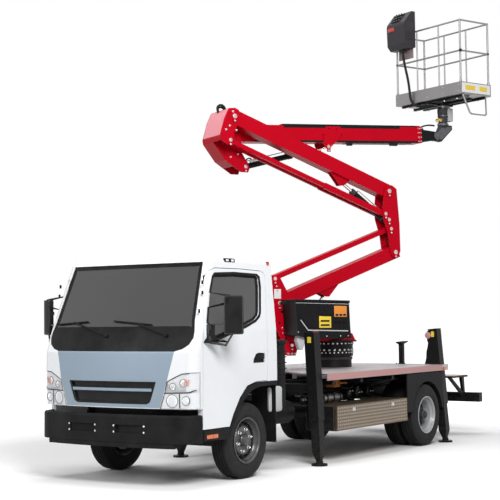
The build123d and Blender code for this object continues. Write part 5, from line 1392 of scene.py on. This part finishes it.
# Each row has a piece and its finish, then each slab's outline, its two side places and its edge radius
TOWER_SLABS = (
    ("tower_plate_white", "plate_white", ((square(-0.975, -0.88, 1.86, 1.976), 0.225, 0.2265, 0.0),)),
    ("tower_plate_yellow", "yellow_paint", ((square(-0.811, -0.732, 1.72, 1.819), 0.225, 0.2265, 0.0),)),
)
CABINET_SLABS = (
    ("cabinet_doors", "black_paint", (
        (((-0.88, 1.848), (-0.1, 1.828), (-0.1, 1.8), (-0.88, 1.82)), 0.236, 0.568, 0.004),
        (((-0.85, 1.66), (-0.56, 1.655), (-0.56, 1.5), (-0.69, 1.497), (-0.8, 1.62)), 0.56, 0.566, 0.003),
        (((-0.545, 1.79), (-0.35, 1.785), (-0.35, 1.66), (-0.545, 1.662)), 0.56, 0.566, 0.003))),
    ("cabinet_panel_yellow", "yellow_paint", (
        (((-0.545, 1.64), (-0.374, 1.634), (-0.374, 1.497), (-0.545, 1.5)), 0.56, 0.564, 0.001),)),
    ("cabinet_panel_amber", "amber_paint", (
        (((-0.328, 1.765), (-0.147, 1.76), (-0.147, 1.628), (-0.328, 1.632)), 0.56, 0.564, 0.001),)),
    ("cabinet_labels", "black_paint", (
        *((square(s, s + 0.04, 1.64, 1.665), 0.563, 0.5655, 0.0) for s in (-0.31, -0.255, -0.2)),
        *((square(-0.525, -0.4, z, z + 0.022), 0.563, 0.5655, 0.0) for z in (1.52, 1.57)))),
    ("cabinet_trim", "trim_light", (
        (((-0.8, 1.6), (-0.7, 1.48), (-0.131, 1.462), (-0.131, 1.45), (-0.706, 1.467), (-0.808, 1.592)),
         0.56, 0.565, 0.0),
        (((-0.87, 1.806), (-0.105, 1.787), (-0.105, 1.781), (-0.87, 1.8)), 0.56, 0.563, 0.0))),
    ("hook_box", "trim_light", (
        (((-0.809, 1.417), (-0.696, 1.415), (-0.712, 1.318), (-0.742, 1.235), (-0.784, 1.236),
          (-0.824, 1.345)),
         0.43, 0.5, 0.006),)),
    ("cabinet_tag", "red_lamp", ((square(-0.64, -0.555, 1.412, 1.456), 0.561, 0.564, 0.0),)),
)


def add_slabs(rows):
    """Adds the flat pieces of a table to the turret."""
    bm = bmesh.new()
    for name, finish, slabs in rows:
        for outline, n0, n1, radius in slabs:
            boom_slab(bm, outline, n0, n1, radius)
        add_piece(name, bm, finish, "turret")


class TruckTurret(bpy.types.Operator):
    """Makes the turret's drum, panels, plates and hoses"""

    bl_idname = "truck.turret"
    bl_label = "Turret"

    def execute(self, context):
        self.drum()
        self.tower()
        self.cabinet()
        return {"FINISHED"}

    def drum(self):
        """Black drum with its rows of bolts, above the toothed ring."""
        middle = boom_at(0.0, 0.0, 0.0)
        bm = bmesh.new()
        wall = [(1.1345, 0.2492), (1.1345, 0.253), (1.316, 0.253), (1.316, 0.2492)]
        add_lathe(bm, wall, middle, UP, 72)
        table = [(1.3158, 0.25), (1.3158, 0.302), (1.3362, 0.302), (1.3362, 0.299), (1.3364, 0.23),
                 (1.335, 0.23)]
        add_lathe(bm, table, middle, UP, 72)
        for z in (1.15, 1.275):
            band = [(z, 0.252), (z, 0.257), (z + 0.012, 0.257), (z + 0.012, 0.252)]
            add_lathe(bm, band, middle, UP, 72)
        add_piece("drum_cover", bm, "black_paint", "turret")
        for z, count, width in ((1.296, 28, 0.02), (1.215, 24, 0.022), (1.18, 30, 0.016)):
            for out in around(count, 0.3 * z):
                add_nut(bm, middle + out * 0.2528 + UP * z, out, width, 0.01, 0.2)
        add_piece("drum_bolts", bm, "steel", "turret")
        corners = [(a, b, c) for a in (0.0, 0.012) for b in (-0.0055, 0.0055) for c in (0.0, 0.032)]
        for index in range(96):
            turn = Matrix.Rotation(math.tau * index / 96, 3, "Z")
            block = [bm.verts.new(middle + turn @ Vector((0.2335 + a, b * (1.0 - 25.0 * a), 1.094 + c)))
                     for a, b, c in corners]
            for face in ((0, 1, 3, 2), (4, 6, 7, 5), (0, 4, 5, 1), (2, 3, 7, 6), (1, 5, 7, 3), (0, 2, 6, 4)):
                bm.faces.new([block[corner] for corner in face])
        band = [(1.094, 0.22), (1.094, 0.2345), (1.126, 0.2345), (1.126, 0.22)]
        add_lathe(bm, band, middle, UP, 72)
        add_piece("slewing_teeth", bm, "cast")

    def tower(self):
        """Pin heads, blank plates, dark discs of painted shade over the holes, and foot bolts of the tower.
        """
        heads = bmesh.new()
        keepers = bmesh.new()
        for s, z, radius in PINS["turret"]:
            pin_end(heads, keepers, (s, z), NEAR, 1, radius)
            pin_end(heads, keepers, (s, z), FAR, -1, radius)
        add_piece("tower_pin_heads", heads, "steel", "turret")
        add_piece("tower_keepers", keepers, "boom_paint", "turret")
        add_slabs(TOWER_SLABS)
        bm = bmesh.new()
        # black discs on the tower plate stand for its holes: painted shade
        for s, z, radius in ((-0.867, 1.7, 0.02), (-0.792, 1.6, 0.018), (-0.817, 1.366, 0.02),
                             (-0.905, 1.56, 0.014)):
            add_rod(bm, boom_at(s, NEAR - 0.001, z), boom_at(s, NEAR + 0.0008, z), radius, steps=24)
        add_piece("tower_hole_shade", bm, "gloss_black", "turret")
        for s in (-0.79, -0.735, -0.69):
            add_nut(bm, boom_at(s, NEAR, 1.185), LIFT_AXIS, 0.022, 0.014, 0.4)
        for z in (1.44, 1.5, 1.96, 2.01):
            add_nut(bm, boom_at(-0.86 - (z - 1.44) * 0.14, NEAR, z), LIFT_AXIS, 0.016, 0.01, 0.3)
        add_piece("tower_bolts", bm, "steel", "turret")
        for shift, lift in ((0.0, 0.0), (0.03, 0.016), (0.058, -0.01)):
            points = [boom_at(-0.56 + shift, 0.15 - shift, 1.345), boom_at(-0.64 + shift, 0.14, 1.52 + lift),
                      boom_at(-0.74 + shift, 0.12, 1.66 + lift), boom_at(-0.7 + shift * 2, 0.1, 1.8 + lift),
                      boom_at(-0.56 + shift * 2, 0.1, 1.9 + lift)]
            add_pipe(bm, points, 0.012, 1.0)
        points = [boom_at(-0.142, 0.3, 1.342), boom_at(-0.1, 0.33, 1.375), boom_at(-0.02, 0.33, 1.38),
                  boom_at(0.036, 0.29, 1.345)]
        add_pipe(bm, points, 0.01, 1.0)
        add_piece("tower_hoses", bm, "hose_rubber", "turret")
        points = [boom_at(-0.06, 0.31, 1.34), boom_at(-0.01, 0.345, 1.372), boom_at(0.07, 0.32, 1.372),
                  boom_at(0.11, 0.27, 1.342)]
        add_pipe(bm, points, 0.009, 1.0)
        add_piece("red_hose", bm, "red_hose", "turret")

    def cabinet(self):
        """Lid, doors, coloured panels, trim and fittings of the cabinet."""
        add_slabs(CABINET_SLABS)
        bm = bmesh.new()
        face = CABINET_FACE
        for s, z in ((-0.62, 1.59), (-0.45, 1.72)):
            add_rod(bm, boom_at(s, face, z), boom_at(s, face + 0.014, z), 0.016, steps=20, chamfer=0.003)
        for s, z in ((-0.3, 1.56), (-0.24, 1.56), (-0.18, 1.56)):
            add_rod(bm, boom_at(s, face, z), boom_at(s, face + 0.018, z), 0.013, steps=16, chamfer=0.004)
            add_rod(bm, boom_at(s, face + 0.016, z), boom_at(s, face + 0.04, z + 0.012), 0.005, 0.007, 10)
        add_piece("cabinet_knobs", bm, "gloss_black", "turret")
        for s in (-0.84, -0.64, -0.44, -0.24, -0.13):
            add_nut(bm, boom_at(s, face, 1.397 if s > -0.7 else 1.452), LIFT_AXIS, 0.013, 0.007, 0.2)
        for s, n in ((-0.1, 0.3), (-0.1, 0.5)):
            for z in (1.42, 1.72):
                add_nut(bm, boom_at(-0.106 + (1.82 - z) * 0.03, n, z), OUTWARDS, 0.013, 0.007, 0.2)
        add_piece("cabinet_bolts", bm, "steel", "turret")


class TruckBoom(bpy.types.Operator):
    """Makes the pin heads, covers, pipes and fittings of the boom"""

    bl_idname = "truck.boom"
    bl_label = "Boom"

    def execute(self, context):
        self.joints()
        self.telescope()
        self.jacks()
        self.head()
        self.nose()
        return {"FINISHED"}

    def joints(self):
        """Pin heads of the link and of the head."""
        heads = bmesh.new()
        keepers = bmesh.new()
        for s, z, radius in PINS["link"]:
            pin_end(heads, keepers, (s, z), NEAR, 1, radius)
            pin_end(heads, keepers, (s, z), FAR, -1, radius)
        add_piece("link_pin_heads", heads, "steel", "link")
        add_piece("link_keepers", keepers, "boom_paint", "link")
        for s, z, radius in HEAD_PINS:
            pin_end(heads, keepers, (s, z), NEAR, 1, radius)
        for (s, z), radius in ((TELE_PIVOT, 0.022), (LUFF_FOOT, 0.016)):
            pin_end(heads, keepers, (s, z), -0.262, -1, radius)
        pin_end(heads, keepers, LUFF_FOOT, 0.014, 1, 0.016)
        add_piece("head_pin_heads", heads, "steel", "boom_head")
        add_piece("head_keepers", keepers, "boom_paint", "boom_head")
        pin_end(heads, keepers, LUFF_EYE, TELE_NEAR + 0.01, 1, 0.016)
        pin_end(heads, keepers, LUFF_EYE, TELE_FAR - 0.01, -1, 0.016)
        add_piece("luff_pin_heads", heads, "steel", "telescope_outer")
        add_piece("luff_keepers", keepers, "boom_paint", "telescope_outer")
        bm = bmesh.new()
        for s, z in ((-0.08, 3.96), (0.0, 4.05), (0.12, 4.052), (0.185, 3.99), (0.11, 3.88)):
            add_nut(bm, boom_at(s, TELE_NEAR + 0.01, z), LIFT_AXIS, 0.02, 0.012, 0.3)
        add_piece("luff_lug_bolts", bm, "boom_paint", "telescope_outer")

    def telescope(self):
        """Covers, end collar and small lugs of the telescopic boom."""
        bm = bmesh.new()
        top = 0.107
        tele_slab(bm, 0.72, 2.5, 0.078, top + 0.001, TELE_NEAR - 0.002, TELE_NEAR + 0.0025)
        tele_slab(bm, 0.72, 2.84, top - 0.001, top + 0.02, TELE_FAR + 0.02, TELE_NEAR - 0.02, 0.004)
        tele_slab(bm, 0.3, 2.82, -top - 0.001, -0.082, TELE_NEAR - 0.002, TELE_NEAR + 0.002)
        tele_slab(bm, 1.7, 2.7, -top - 0.006, -top + 0.001, TELE_FAR + 0.03, TELE_NEAR - 0.03)
        add_piece("tele_covers", bm, "black_paint", "telescope_outer")
        for n0, n1 in ((TELE_NEAR - 0.001, TELE_NEAR + 0.008), (TELE_FAR - 0.008, TELE_FAR + 0.001)):
            tele_slab(bm, 2.78, 2.848, -top, top, n0, n1, 0.002)
        tele_slab(bm, 2.78, 2.848, top - 0.001, top + 0.008, TELE_FAR - 0.008, TELE_NEAR + 0.008, 0.002)
        bracket = [(-1.04, 4.03), (-0.96, 4.034), (-0.985, 4.085), (-1.01, 4.086)]
        boom_slab(bm, bracket, -0.135, -0.125, 0.001)
        add_piece("tele_collar", bm, "boom_paint", "telescope_outer")
        for low, high in (((0.279, 3.871), (0.371, 3.85)), ((0.952, 3.906), (1.08, 3.885))):
            boom_slab(bm, [(low[0], low[1] + 0.012), (low[0] + 0.01, high[1] - 0.012),
                           (high[0] - 0.01, high[1] - 0.01), (high[0], low[1] + 0.016)], -0.06, -0.022, 0.004)
        add_piece("tele_lugs", bm, "gloss_black", "telescope_outer")
        for distance in (2.79, 2.815, 2.838):
            for lift in (-0.085, -0.03, 0.03, 0.085):
                add_nut(bm, boom_at(tele(distance, lift)[0], TELE_NEAR + 0.008, tele(distance, lift)[1]),
                        LIFT_AXIS, 0.012, 0.006, 0.2)
        add_piece("tele_bolts", bm, "steel", "telescope_outer")

    def jacks(self):
        """Glands, ports and pipes of the three jacks."""
        for name, (foot, eye, n, radius, length) in JACK_LINES.items():
            start = boom_at(foot[0], n, foot[1])
            way = (boom_at(eye[0], n, eye[1]) - start).normalized()
            up = LIFT_AXIS.cross(way)
            if up.z < 0:
                up = -up
            bm = bmesh.new()
            for low, high, more in ((length - 0.05, length + 0.002, 0.004), (0.048, 0.075, 0.003)):
                add_lathe(bm, [(low, radius - 0.001), (low, radius + more), (high, radius + more),
                               (high, radius * 0.6), (high - 0.004, radius * 0.6),
                               (high - 0.004, radius - 0.001)], start, way, 32)
            add_piece(name + "_gland", bm, "cast", name + "_barrel")
            for distance in (0.11, length - 0.08):
                place = start + way * distance + up * (radius - 0.004)
                add_rod(bm, place, place + up * 0.024, 0.013, steps=6)
                add_rod(bm, place + up * 0.022, place + up * 0.034, 0.009, steps=12)
            first = start + way * 0.11 + up * (radius + 0.026)
            last = start + way * (length - 0.08) + up * (radius + 0.026)
            add_pipe(bm, [first, first + way * 0.03 + up * 0.004, last - way * 0.03 + up * 0.004, last],
                     0.0065)
            block = start + way * 0.2 + up * (radius + 0.014)
            turn = Matrix((way, LIFT_AXIS, up)).transposed().to_4x4()
            add_block(bm, block, (0.045, 0.022, 0.017), 0.003, turn)
            add_piece(name + "_pipes", bm, "steel", name + "_barrel")

    def head(self):
        """Painted highlight: a pale pink sheet over the head's back face stands for the light on that red
        face; also the hose loop and the bolts of the head.
        """
        bm = bmesh.new()
        # a thin pale pink sheet over the back face: painted highlight for the light on that red face
        back = [(-1.569, 4.158), (-1.5665, 4.158), (-1.6255, 4.04), (-1.686, 3.835), (-1.6885, 3.835),
                (-1.628, 4.04)]
        boom_slab(bm, back, -0.245, 0.205)
        add_piece("head_back_highlight", bm, "head_pink", "boom_head")
        for n, radius, loop in HEAD_HOSES:
            add_pipe(bm, [boom_at(s, n, z) for s, z in loop], radius, 1.0)
        add_piece("head_hoses", bm, "hose_rubber", "boom_head")
        for s, z in ((-1.515, 4.125), (-1.56, 3.95), (-1.61, 3.9), (-1.47, 3.9)):
            add_nut(bm, boom_at(s, NEAR, z), LIFT_AXIS, 0.02, 0.012, 0.3)
        for s, z in ((-1.5, 4.0), (-1.4, 4.08), (-1.34, 3.64), (-1.44, 3.6)):
            add_nut(bm, boom_at(s, 0.014, z), LIFT_AXIS, 0.018, 0.01, 0.3)
        add_piece("head_bolts", bm, "steel", "boom_head")

    def nose(self):
        """Castings, bolts and the grey box at the boom's nose."""
        pin = (TELE_PIVOT[0] + 3.1305 * math.cos(TELE_RISE) + 0.0049 * math.sin(TELE_RISE),
               TELE_PIVOT[1] + 3.1305 * math.sin(TELE_RISE) - 0.0049 * math.cos(TELE_RISE))
        near = TELE_NEAR - 0.008 - 0.005 - 0.02
        far = TELE_FAR + 0.008 + 0.005 + 0.02
        bm = bmesh.new()
        for n, way in ((near, 1), (far, -1)):
            centre = boom_at(pin[0], n, pin[1])
            axis = LIFT_AXIS * way
            add_rod(bm, centre - axis * 0.002, centre + axis * 0.012, 0.05, steps=36, chamfer=0.003)
            add_rod(bm, centre + axis * 0.01, centre + axis * 0.02, 0.028, steps=28, chamfer=0.003)
            for out in around(6):
                spot = boom_at(pin[0] + 0.038 * out.x, n, pin[1] + 0.038 * out.y)
                add_nut(bm, spot + axis * 0.012, axis, 0.011, 0.006, 0.1)
        add_piece("nose_flanges", bm, "nose_grey", "telescope_inner")
        middle = (near + far) / 2
        for n, way in ((middle + 0.035, 1), (middle - 0.035, -1)):
            for s, z in ((0.09, 0.04), (0.17, 0.11), (0.24, 0.12)):
                spot = boom_at(pin[0] + s, n, pin[1] + z)
                add_nut(bm, spot, LIFT_AXIS * way, 0.02, 0.012, 0.3)
        arm = [(pin[0] + s, pin[1] + z) for s, z in (
            (0.04, 0.05), (0.1, 0.12), (0.2, 0.135), (0.27, 0.14), (0.27, 0.112), (0.11, -0.04),
            (0.05, -0.04))]
        boom_slab(bm, arm, middle - 0.047, middle - 0.034, 0.004)
        boom_slab(bm, arm, middle + 0.034, middle + 0.047, 0.004)
        add_piece("leveller_castings", bm, "nose_grey", "levelling_bracket")
        self.column(pin, middle)

    def column(self, pin, middle):
        """Rings, box, motor and hoses of the basket's column."""
        column = joint_place("basket_turn")
        low = pin[1] + 0.137
        bm = bmesh.new()
        base = Vector((column.x, column.y, 0.0))
        for z, radius, high in ((low + 0.02, 0.078, 0.02), (low + 0.14, 0.072, 0.016),
                                (low + 0.255, 0.08, 0.03)):
            ring = [(z, 0.06), (z, radius), (z + high, radius), (z + high, 0.06)]
            add_lathe(bm, ring, base, (0, 0, 1), 40)
        for out in around(8):
            add_nut(bm, base + out * 0.071 + UP * (low + 0.04), (0, 0, 1), 0.013, 0.008, 0.2)
        add_piece("column_rings", bm, "nose_grey", "levelling_bracket")
        box = base + OUTWARDS * 0.098 + UP * (low + 0.17)
        turn = Matrix((OUTWARDS, LIFT_AXIS, UP)).transposed().to_4x4()
        add_block(bm, box, (0.042, 0.048, 0.09), 0.008, turn)
        add_rod(bm, box + UP * 0.085, box + UP * 0.12, 0.024, steps=20, chamfer=0.004)
        add_piece("column_box", bm, "trim_light", "levelling_bracket")
        side = base - OUTWARDS * 0.072 + UP * (low + 0.09)
        add_rod(bm, side - LIFT_AXIS * 0.04, side + LIFT_AXIS * 0.05, 0.026, steps=24, chamfer=0.004)
        add_rod(bm, side + LIFT_AXIS * 0.048, side + LIFT_AXIS * 0.066, 0.014, steps=6)
        add_piece("column_motor", bm, "brass", "levelling_bracket")
        points = [base - OUTWARDS * out + LIFT_AXIS * n + UP * (low + z) for out, n, z in (
            (0.07, 0.03, 0.1), (0.15, 0.05, 0.2), (0.11, 0.06, 0.29), (0.06, 0.04, 0.25))]
        add_pipe(bm, points, 0.011, 1.0)
        add_piece("column_hose", bm, "hose_rubber", "levelling_bracket")
        points = [boom_at(pin[0] + s, n, pin[1] + z)
                  for s, n, z in ((-0.24, middle, 0.1), (-0.12, middle - 0.01, 0.165),
                                  (0.02, middle - 0.01, 0.15))]
        add_pipe(bm, points, 0.012, 1.0)
        add_piece("nose_hose", bm, "hose_rubber", "telescope_inner")


# Basket

HALF_LONG = 0.635
HALF_DEEP = 0.28
FLOOR_Z = 4.55
LONG_WAY = Vector((math.sin(math.radians(110.0)), math.cos(math.radians(110.0)), 0.0))
DEEP_WAY = Vector((-LONG_WAY.y, LONG_WAY.x, 0.0))
BASKET_TURN = Matrix((LONG_WAY, DEEP_WAY, UP)).transposed()


def basket_at(x, y, z):
    """A place in the basket's own axes."""
    column = joint_place("basket_turn")
    origin = Vector((column.x, column.y, FLOOR_Z)) - LONG_WAY * 0.06 + DEEP_WAY * 0.06
    return origin + LONG_WAY * x + DEEP_WAY * y + UP * z


def basket_box(bm, low, high, radius=0.0):
    """Adds a box in the basket's own axes."""
    centre = basket_at(*((a + b) / 2 for a, b in zip(low, high)))
    add_block(bm, centre, (Vector(high) - Vector(low)) / 2, radius, BASKET_TURN.to_4x4())


def basket_boxes(bm, *rows):
    """Adds boxes in the basket's own axes: low corner, high corner and edge radius."""
    for low, high, radius in rows:
        basket_box(bm, low, high, radius)


class TruckBasket(bpy.types.Operator):
    """Makes the basket's joints, plates, console and cable"""

    bl_idname = "truck.basket"
    bl_label = "Basket"

    def execute(self, context):
        self.frame_parts()
        self.console()
        self.underside()
        return {"FINISHED"}

    def frame_parts(self):
        """Feet and joints of the posts, lips of the toe board and the blank plate."""
        inset = 0.022
        x = HALF_LONG - inset
        y = HALF_DEEP - inset
        bm = bmesh.new()
        for a in (-x, x):
            for b in (-y, y):
                add_rod(bm, basket_at(a, b, 0.15), basket_at(a, b, 0.19), 0.018, steps=20, chamfer=0.003)
                add_ball(bm, basket_at(a, b, 0.988), 0.0155, 20)
        for low, high in (((-HALF_LONG - 0.001, -HALF_DEEP - 0.001), (HALF_LONG + 0.001, -HALF_DEEP + 0.012)),
                          ((-HALF_LONG - 0.001, HALF_DEEP - 0.012), (HALF_LONG + 0.001, HALF_DEEP + 0.001)),
                          ((-HALF_LONG - 0.001, -HALF_DEEP), (-HALF_LONG + 0.012, HALF_DEEP)),
                          ((HALF_LONG - 0.012, -HALF_DEEP), (HALF_LONG + 0.001, HALF_DEEP))):
            basket_box(bm, (*low, 0.154), (*high, 0.162), 0.002)
        spots = [(basket_at(-0.605 + column * 0.0378, -0.25 + row * 0.0385, 0.014), way)
                 for row, column, way in grid(14, 33)]
        add_piece("basket_fittings", bm, "aluminium", "basket")
        chequer("basket_lozenges", spots, LONG_WAY, DEEP_WAY, UP, (0.026, 0.008, 0.0013), "aluminium",
                "basket")
        for a, b in ((x, -y), (x, y), (-x, -y), (-x, y)):
            add_ball(bm, basket_at(a, b, 0.58), 0.019, 20)
        basket_box(bm, (x - 0.006, -y - 0.014, 0.56), (x + 0.014, -y + 0.02, 0.6), 0.003)
        add_piece("basket_joints", bm, "gloss_black", "basket")
        basket_box(bm, (HALF_LONG, -0.262, 0.022), (HALF_LONG + 0.002, 0.262, 0.15))
        add_piece("basket_plate", bm, "plate_white", "basket")
        basket_boxes(bm, ((HALF_LONG + 0.001, -0.2, 0.06), (HALF_LONG + 0.003, -0.02, 0.12), 0.0),
                     ((HALF_LONG + 0.001, 0.06, 0.06), (HALF_LONG + 0.003, 0.2, 0.12), 0.0))
        add_piece("basket_plate_yellow", bm, "yellow_paint", "basket")
        for a in (-0.59, -0.3, 0.0, 0.3, 0.59):
            for z in (0.04, 0.125):
                add_rod(bm, basket_at(a, -HALF_DEEP - 0.0005, z), basket_at(a, -HALF_DEEP - 0.004, z), 0.007,
                        steps=12)
        add_piece("toe_board_rivets", bm, "steel", "basket")

    def console(self):
        """Slots, levers, tag, lower plate and cable of the control box."""
        x0 = -HALF_LONG + 0.075
        bm = bmesh.new()
        slope = Vector((0.0, -0.135, -0.158)).normalized()
        up = Vector((0.0, -0.158, 0.135)).normalized()
        along_slope = DEEP_WAY * slope.y + Vector((0, 0, slope.z))
        outwards = DEEP_WAY * up.y + Vector((0, 0, up.z))
        turn = Matrix((LONG_WAY, along_slope, outwards)).transposed().to_4x4()
        top = basket_at(x0 + 0.15, -HALF_DEEP - 0.07, 1.258)
        for index in range(3):
            centre = top + along_slope * (0.04 + 0.062 * index) + outwards * 0.004
            add_block(bm, centre, (0.088, 0.019, 0.01), 0.006, turn)
        add_piece("console_slots", bm, "gloss_black", "basket")
        for index in range(3):
            for shift in (-0.05, 0.0, 0.05):
                foot = top + along_slope * (0.04 + 0.062 * index) + LONG_WAY * shift + outwards * 0.012
                add_rod(bm, foot, foot + outwards * 0.016, 0.004, steps=8)
                add_ball(bm, foot + outwards * 0.018, 0.007, 10)
        add_piece("console_levers", bm, "black_plastic", "basket")
        basket_box(bm, (x0 + 0.02, -HALF_DEEP - 0.2165, 1.0), (x0 + 0.15, -HALF_DEEP - 0.2085, 1.05), 0.002)
        add_piece("console_tag", bm, "red_lamp", "basket")
        basket_box(bm, (x0 + 0.06, -HALF_DEEP - 0.052, 0.61), (x0 + 0.35, -HALF_DEEP - 0.044, 0.745), 0.004)
        for z in (0.64, 0.7):
            basket_box(bm, (x0 + 0.1, -HALF_DEEP - 0.048, z), (x0 + 0.13, -HALF_DEEP - 0.01, z + 0.02), 0.003)
        add_piece("console_bracket", bm, "bracket_brown", "basket")
        basket_box(bm, (x0 + 0.346, -HALF_DEEP - 0.18, 0.86), (x0 + 0.353, -HALF_DEEP - 0.05, 1.1), 0.003)
        for z in (0.88, 0.91, 0.94):
            basket_box(bm, (x0 + 0.352, -HALF_DEEP - 0.15, z), (x0 + 0.356, -HALF_DEEP - 0.08, z + 0.014))
        add_piece("console_side", bm, "grey_paint", "basket")
        a = x0 + 0.2
        points = [basket_at(a + x, -HALF_DEEP + y, z) for x, y, z in (
            (0.0, -0.11, 0.75), (0.01, -0.1, 0.56), (0.04, -0.05, 0.35), (0.05, -0.035, 0.12),
            (0.07, -0.03, -0.02), (0.15, 0.06, -0.07), (0.3, 0.16, -0.05))]
        add_pipe(bm, points, 0.017, 1.0, 14)
        add_rod(bm, points[0], points[0] - UP * 0.05, 0.026, steps=20, chamfer=0.004)
        add_piece("console_cable", bm, "hose_rubber", "basket")

    def underside(self):
        """Floor beam, clamps and the step that hangs below the end."""
        bm = bmesh.new()
        for y in (-0.2, 0.2):
            basket_box(bm, (-0.58, y - 0.02, -0.03), (0.6, y + 0.02, -0.0005), 0.003)
        basket_boxes(bm, ((-0.52, -0.06, -0.062), (0.58, -0.02, -0.0285), 0.004),
                     ((-0.06, -0.2, -0.05), (0.0, 0.2, -0.0285), 0.004))
        add_piece("floor_beams", bm, "black_paint", "basket")
        for a in (-0.48, -0.24, 0.24, 0.48):
            for b in (-0.2, 0.2):
                add_nut(bm, basket_at(a, b, -0.03), (0, 0, -1), 0.018, 0.012, 0.3)
        add_piece("floor_bolts", bm, "steel", "basket")
        hang = [basket_at(HALF_LONG + x, y, z) for x, y, z in (
            (-0.014, -0.235, -0.002), (0.016, -0.14, -0.245), (0.018, -0.11, -0.262), (0.018, 0.14, -0.262),
            (0.016, 0.165, -0.245), (-0.014, 0.19, -0.002))]
        add_pipe(bm, hang, 0.012)
        for corner in hang[1:5]:
            add_ball(bm, corner, 0.0125, 14)
        add_piece("hanging_step", bm, "aluminium", "basket")


# Studio

CAMERA_PLACE = (8.35, -10.78, 1.62)
CAMERA_AZIMUTH = 34.4
CAMERA_PITCH = 3.07
CAMERA_ROLL = -0.7


def camera_turn():
    """The camera's rotation from its azimuth, pitch and roll."""
    azimuth = math.radians(CAMERA_AZIMUTH)
    pitch = math.radians(CAMERA_PITCH)
    roll = math.radians(CAMERA_ROLL)
    ahead = Vector((-math.sin(azimuth) * math.cos(pitch), math.cos(azimuth) * math.cos(pitch),
                    math.sin(pitch)))
    right = ahead.cross(UP).normalized()
    up = right.cross(ahead)
    right_rolled = right * math.cos(roll) + up * math.sin(roll)
    up_rolled = up * math.cos(roll) - right * math.sin(roll)
    turn = Matrix((right_rolled, up_rolled, -ahead)).transposed()
    return turn


def backdrop_world():
    """A plain bright world: white to the eye, softer as a light."""
    world = bpy.data.worlds.new("studio_world")
    world.use_nodes = True
    world.node_tree.nodes.clear()
    nodes = Nodes(world.node_tree)
    level = nodes.spread(nodes.seen(), 0.0, 1.0, 0.3, 1.0)
    background = nodes.add("ShaderNodeBackground", {"Color": (1.0, 1.0, 1.0, 1.0), "Strength": level})
    nodes.add("ShaderNodeOutputWorld", {"Surface": background.outputs["Background"]})
    bpy.context.scene.world = world


def floor_material():
    """A pale floor that keeps the shadow and stays white to the eye."""
    shader = Shader("studio_floor")
    away = shader.add("ShaderNodeVectorMath", {0: shader.coords, 1: at(0.0, 2.0, 0.0)}, operation="DISTANCE")
    level = shader.spread(away.outputs["Value"], 3.8, 8.0, 0.0, 0.85)
    seen = shader.seen()
    cloud = shader.noise(0.4, 2.0)
    bounced = shader.mix(cloud, (0.42, 0.42, 0.42), (0.4, 0.4, 0.4))
    shader.set(Base_Color=shader.mix(seen, bounced, (0.92, 0.92, 0.92)), Roughness=0.9,
               Specular_IOR_Level=0.0)
    glowing = shader.add("ShaderNodeEmission", {"Color": (1.0, 1.0, 1.0, 1.0),
                                                "Strength": shader.sums("MULTIPLY", seen, level)})
    both = shader.add("ShaderNodeAddShader", {0: shader.surface.outputs[0], 1: glowing.outputs[0]})
    shader.tree.links.new(both.outputs[0], shader.output.inputs["Surface"])
    return shader.material


LAMPS = (
    # name, place, aim, size, power
    ("key", (7.5, -5.5, 7.5), (0.0, 0.6, 1.6), 4.0, 1150.0),
    ("front", (-4.5, -8.5, 5.0), (0.0, 0.0, 1.4), 4.0, 300.0),
    ("top", (0.0, 2.5, 11.0), (0.0, 2.5, 0.0), 7.0, 700.0),
)


class TruckStudio(bpy.types.Operator):
    """Makes the floor, the light and the camera"""

    bl_idname = "truck.studio"
    bl_label = "Studio"

    def execute(self, context):
        sizes = context.scene.truck_sizes
        mesh = bpy.data.meshes.new("studio_floor")
        bm = bmesh.new()
        bmesh.ops.create_grid(bm, x_segments=2, y_segments=2, size=sizes.floor / 2)
        bm.to_mesh(mesh)
        bm.free()
        floor = bpy.data.objects.new("studio_floor", mesh)
        context.scene.collection.objects.link(floor)
        mesh.materials.append(floor_material())
        backdrop_world()
        for name, place, aim, size, power in LAMPS:
            light = bpy.data.lights.new("lamp_" + name, "AREA")
            light.size = size
            light.energy = power
            lamp = bpy.data.objects.new("lamp_" + name, light)
            context.scene.collection.objects.link(lamp)
            lamp.location = at(*place)
            direction = at(*aim) - lamp.location
            lamp.rotation_euler = direction.to_track_quat("-Z", "Y").to_euler()
        data = bpy.data.cameras.new("camera")
        data.lens = sizes.lens
        data.sensor_width = 36.0
        data.clip_end = 400.0
        camera = bpy.data.objects.new("camera", data)
        context.scene.collection.objects.link(camera)
        camera.matrix_world = Matrix.Translation(at(*CAMERA_PLACE)) @ camera_turn().to_4x4()
        context.scene.camera = camera
        context.scene.view_settings.view_transform = "Standard"
        return {"FINISHED"}


class TruckPanel(bpy.types.Panel):
    """Lists the truck's makers"""

    bl_idname = "VIEW3D_PT_truck"
    bl_label = "Truck"
    bl_space_type = "VIEW_3D"
    bl_region_type = "UI"
    bl_category = "Truck"

    def draw(self, context):
        for operator in MAKERS:
            self.layout.operator(operator.bl_idname)


MAKERS = (TruckNodeFinishes, TruckWheels, TruckCab, TruckInside, TruckDeck, TruckGear, TruckTurret, TruckBoom,
          TruckBasket, TruckStudio)
CLASSES = (TruckColours, TruckSizes, *MAKERS, TruckPanel)


def register():
    """Registers the classes and their settings."""
    for item in CLASSES:
        bpy.utils.register_class(item)
    bpy.types.Scene.truck_colours = PointerProperty(type=TruckColours)
    bpy.types.Scene.truck_sizes = PointerProperty(type=TruckSizes)


def unregister():
    """Takes the classes and settings away again."""
    del bpy.types.Scene.truck_sizes
    del bpy.types.Scene.truck_colours
    for item in reversed(CLASSES):
        bpy.utils.unregister_class(item)


def main():
    """Makes every piece."""
    register()
    for operator in MAKERS:
        group, action = operator.bl_idname.split(".")
        getattr(getattr(bpy.ops, group), action)()


if __name__ == "__main__":
    main()
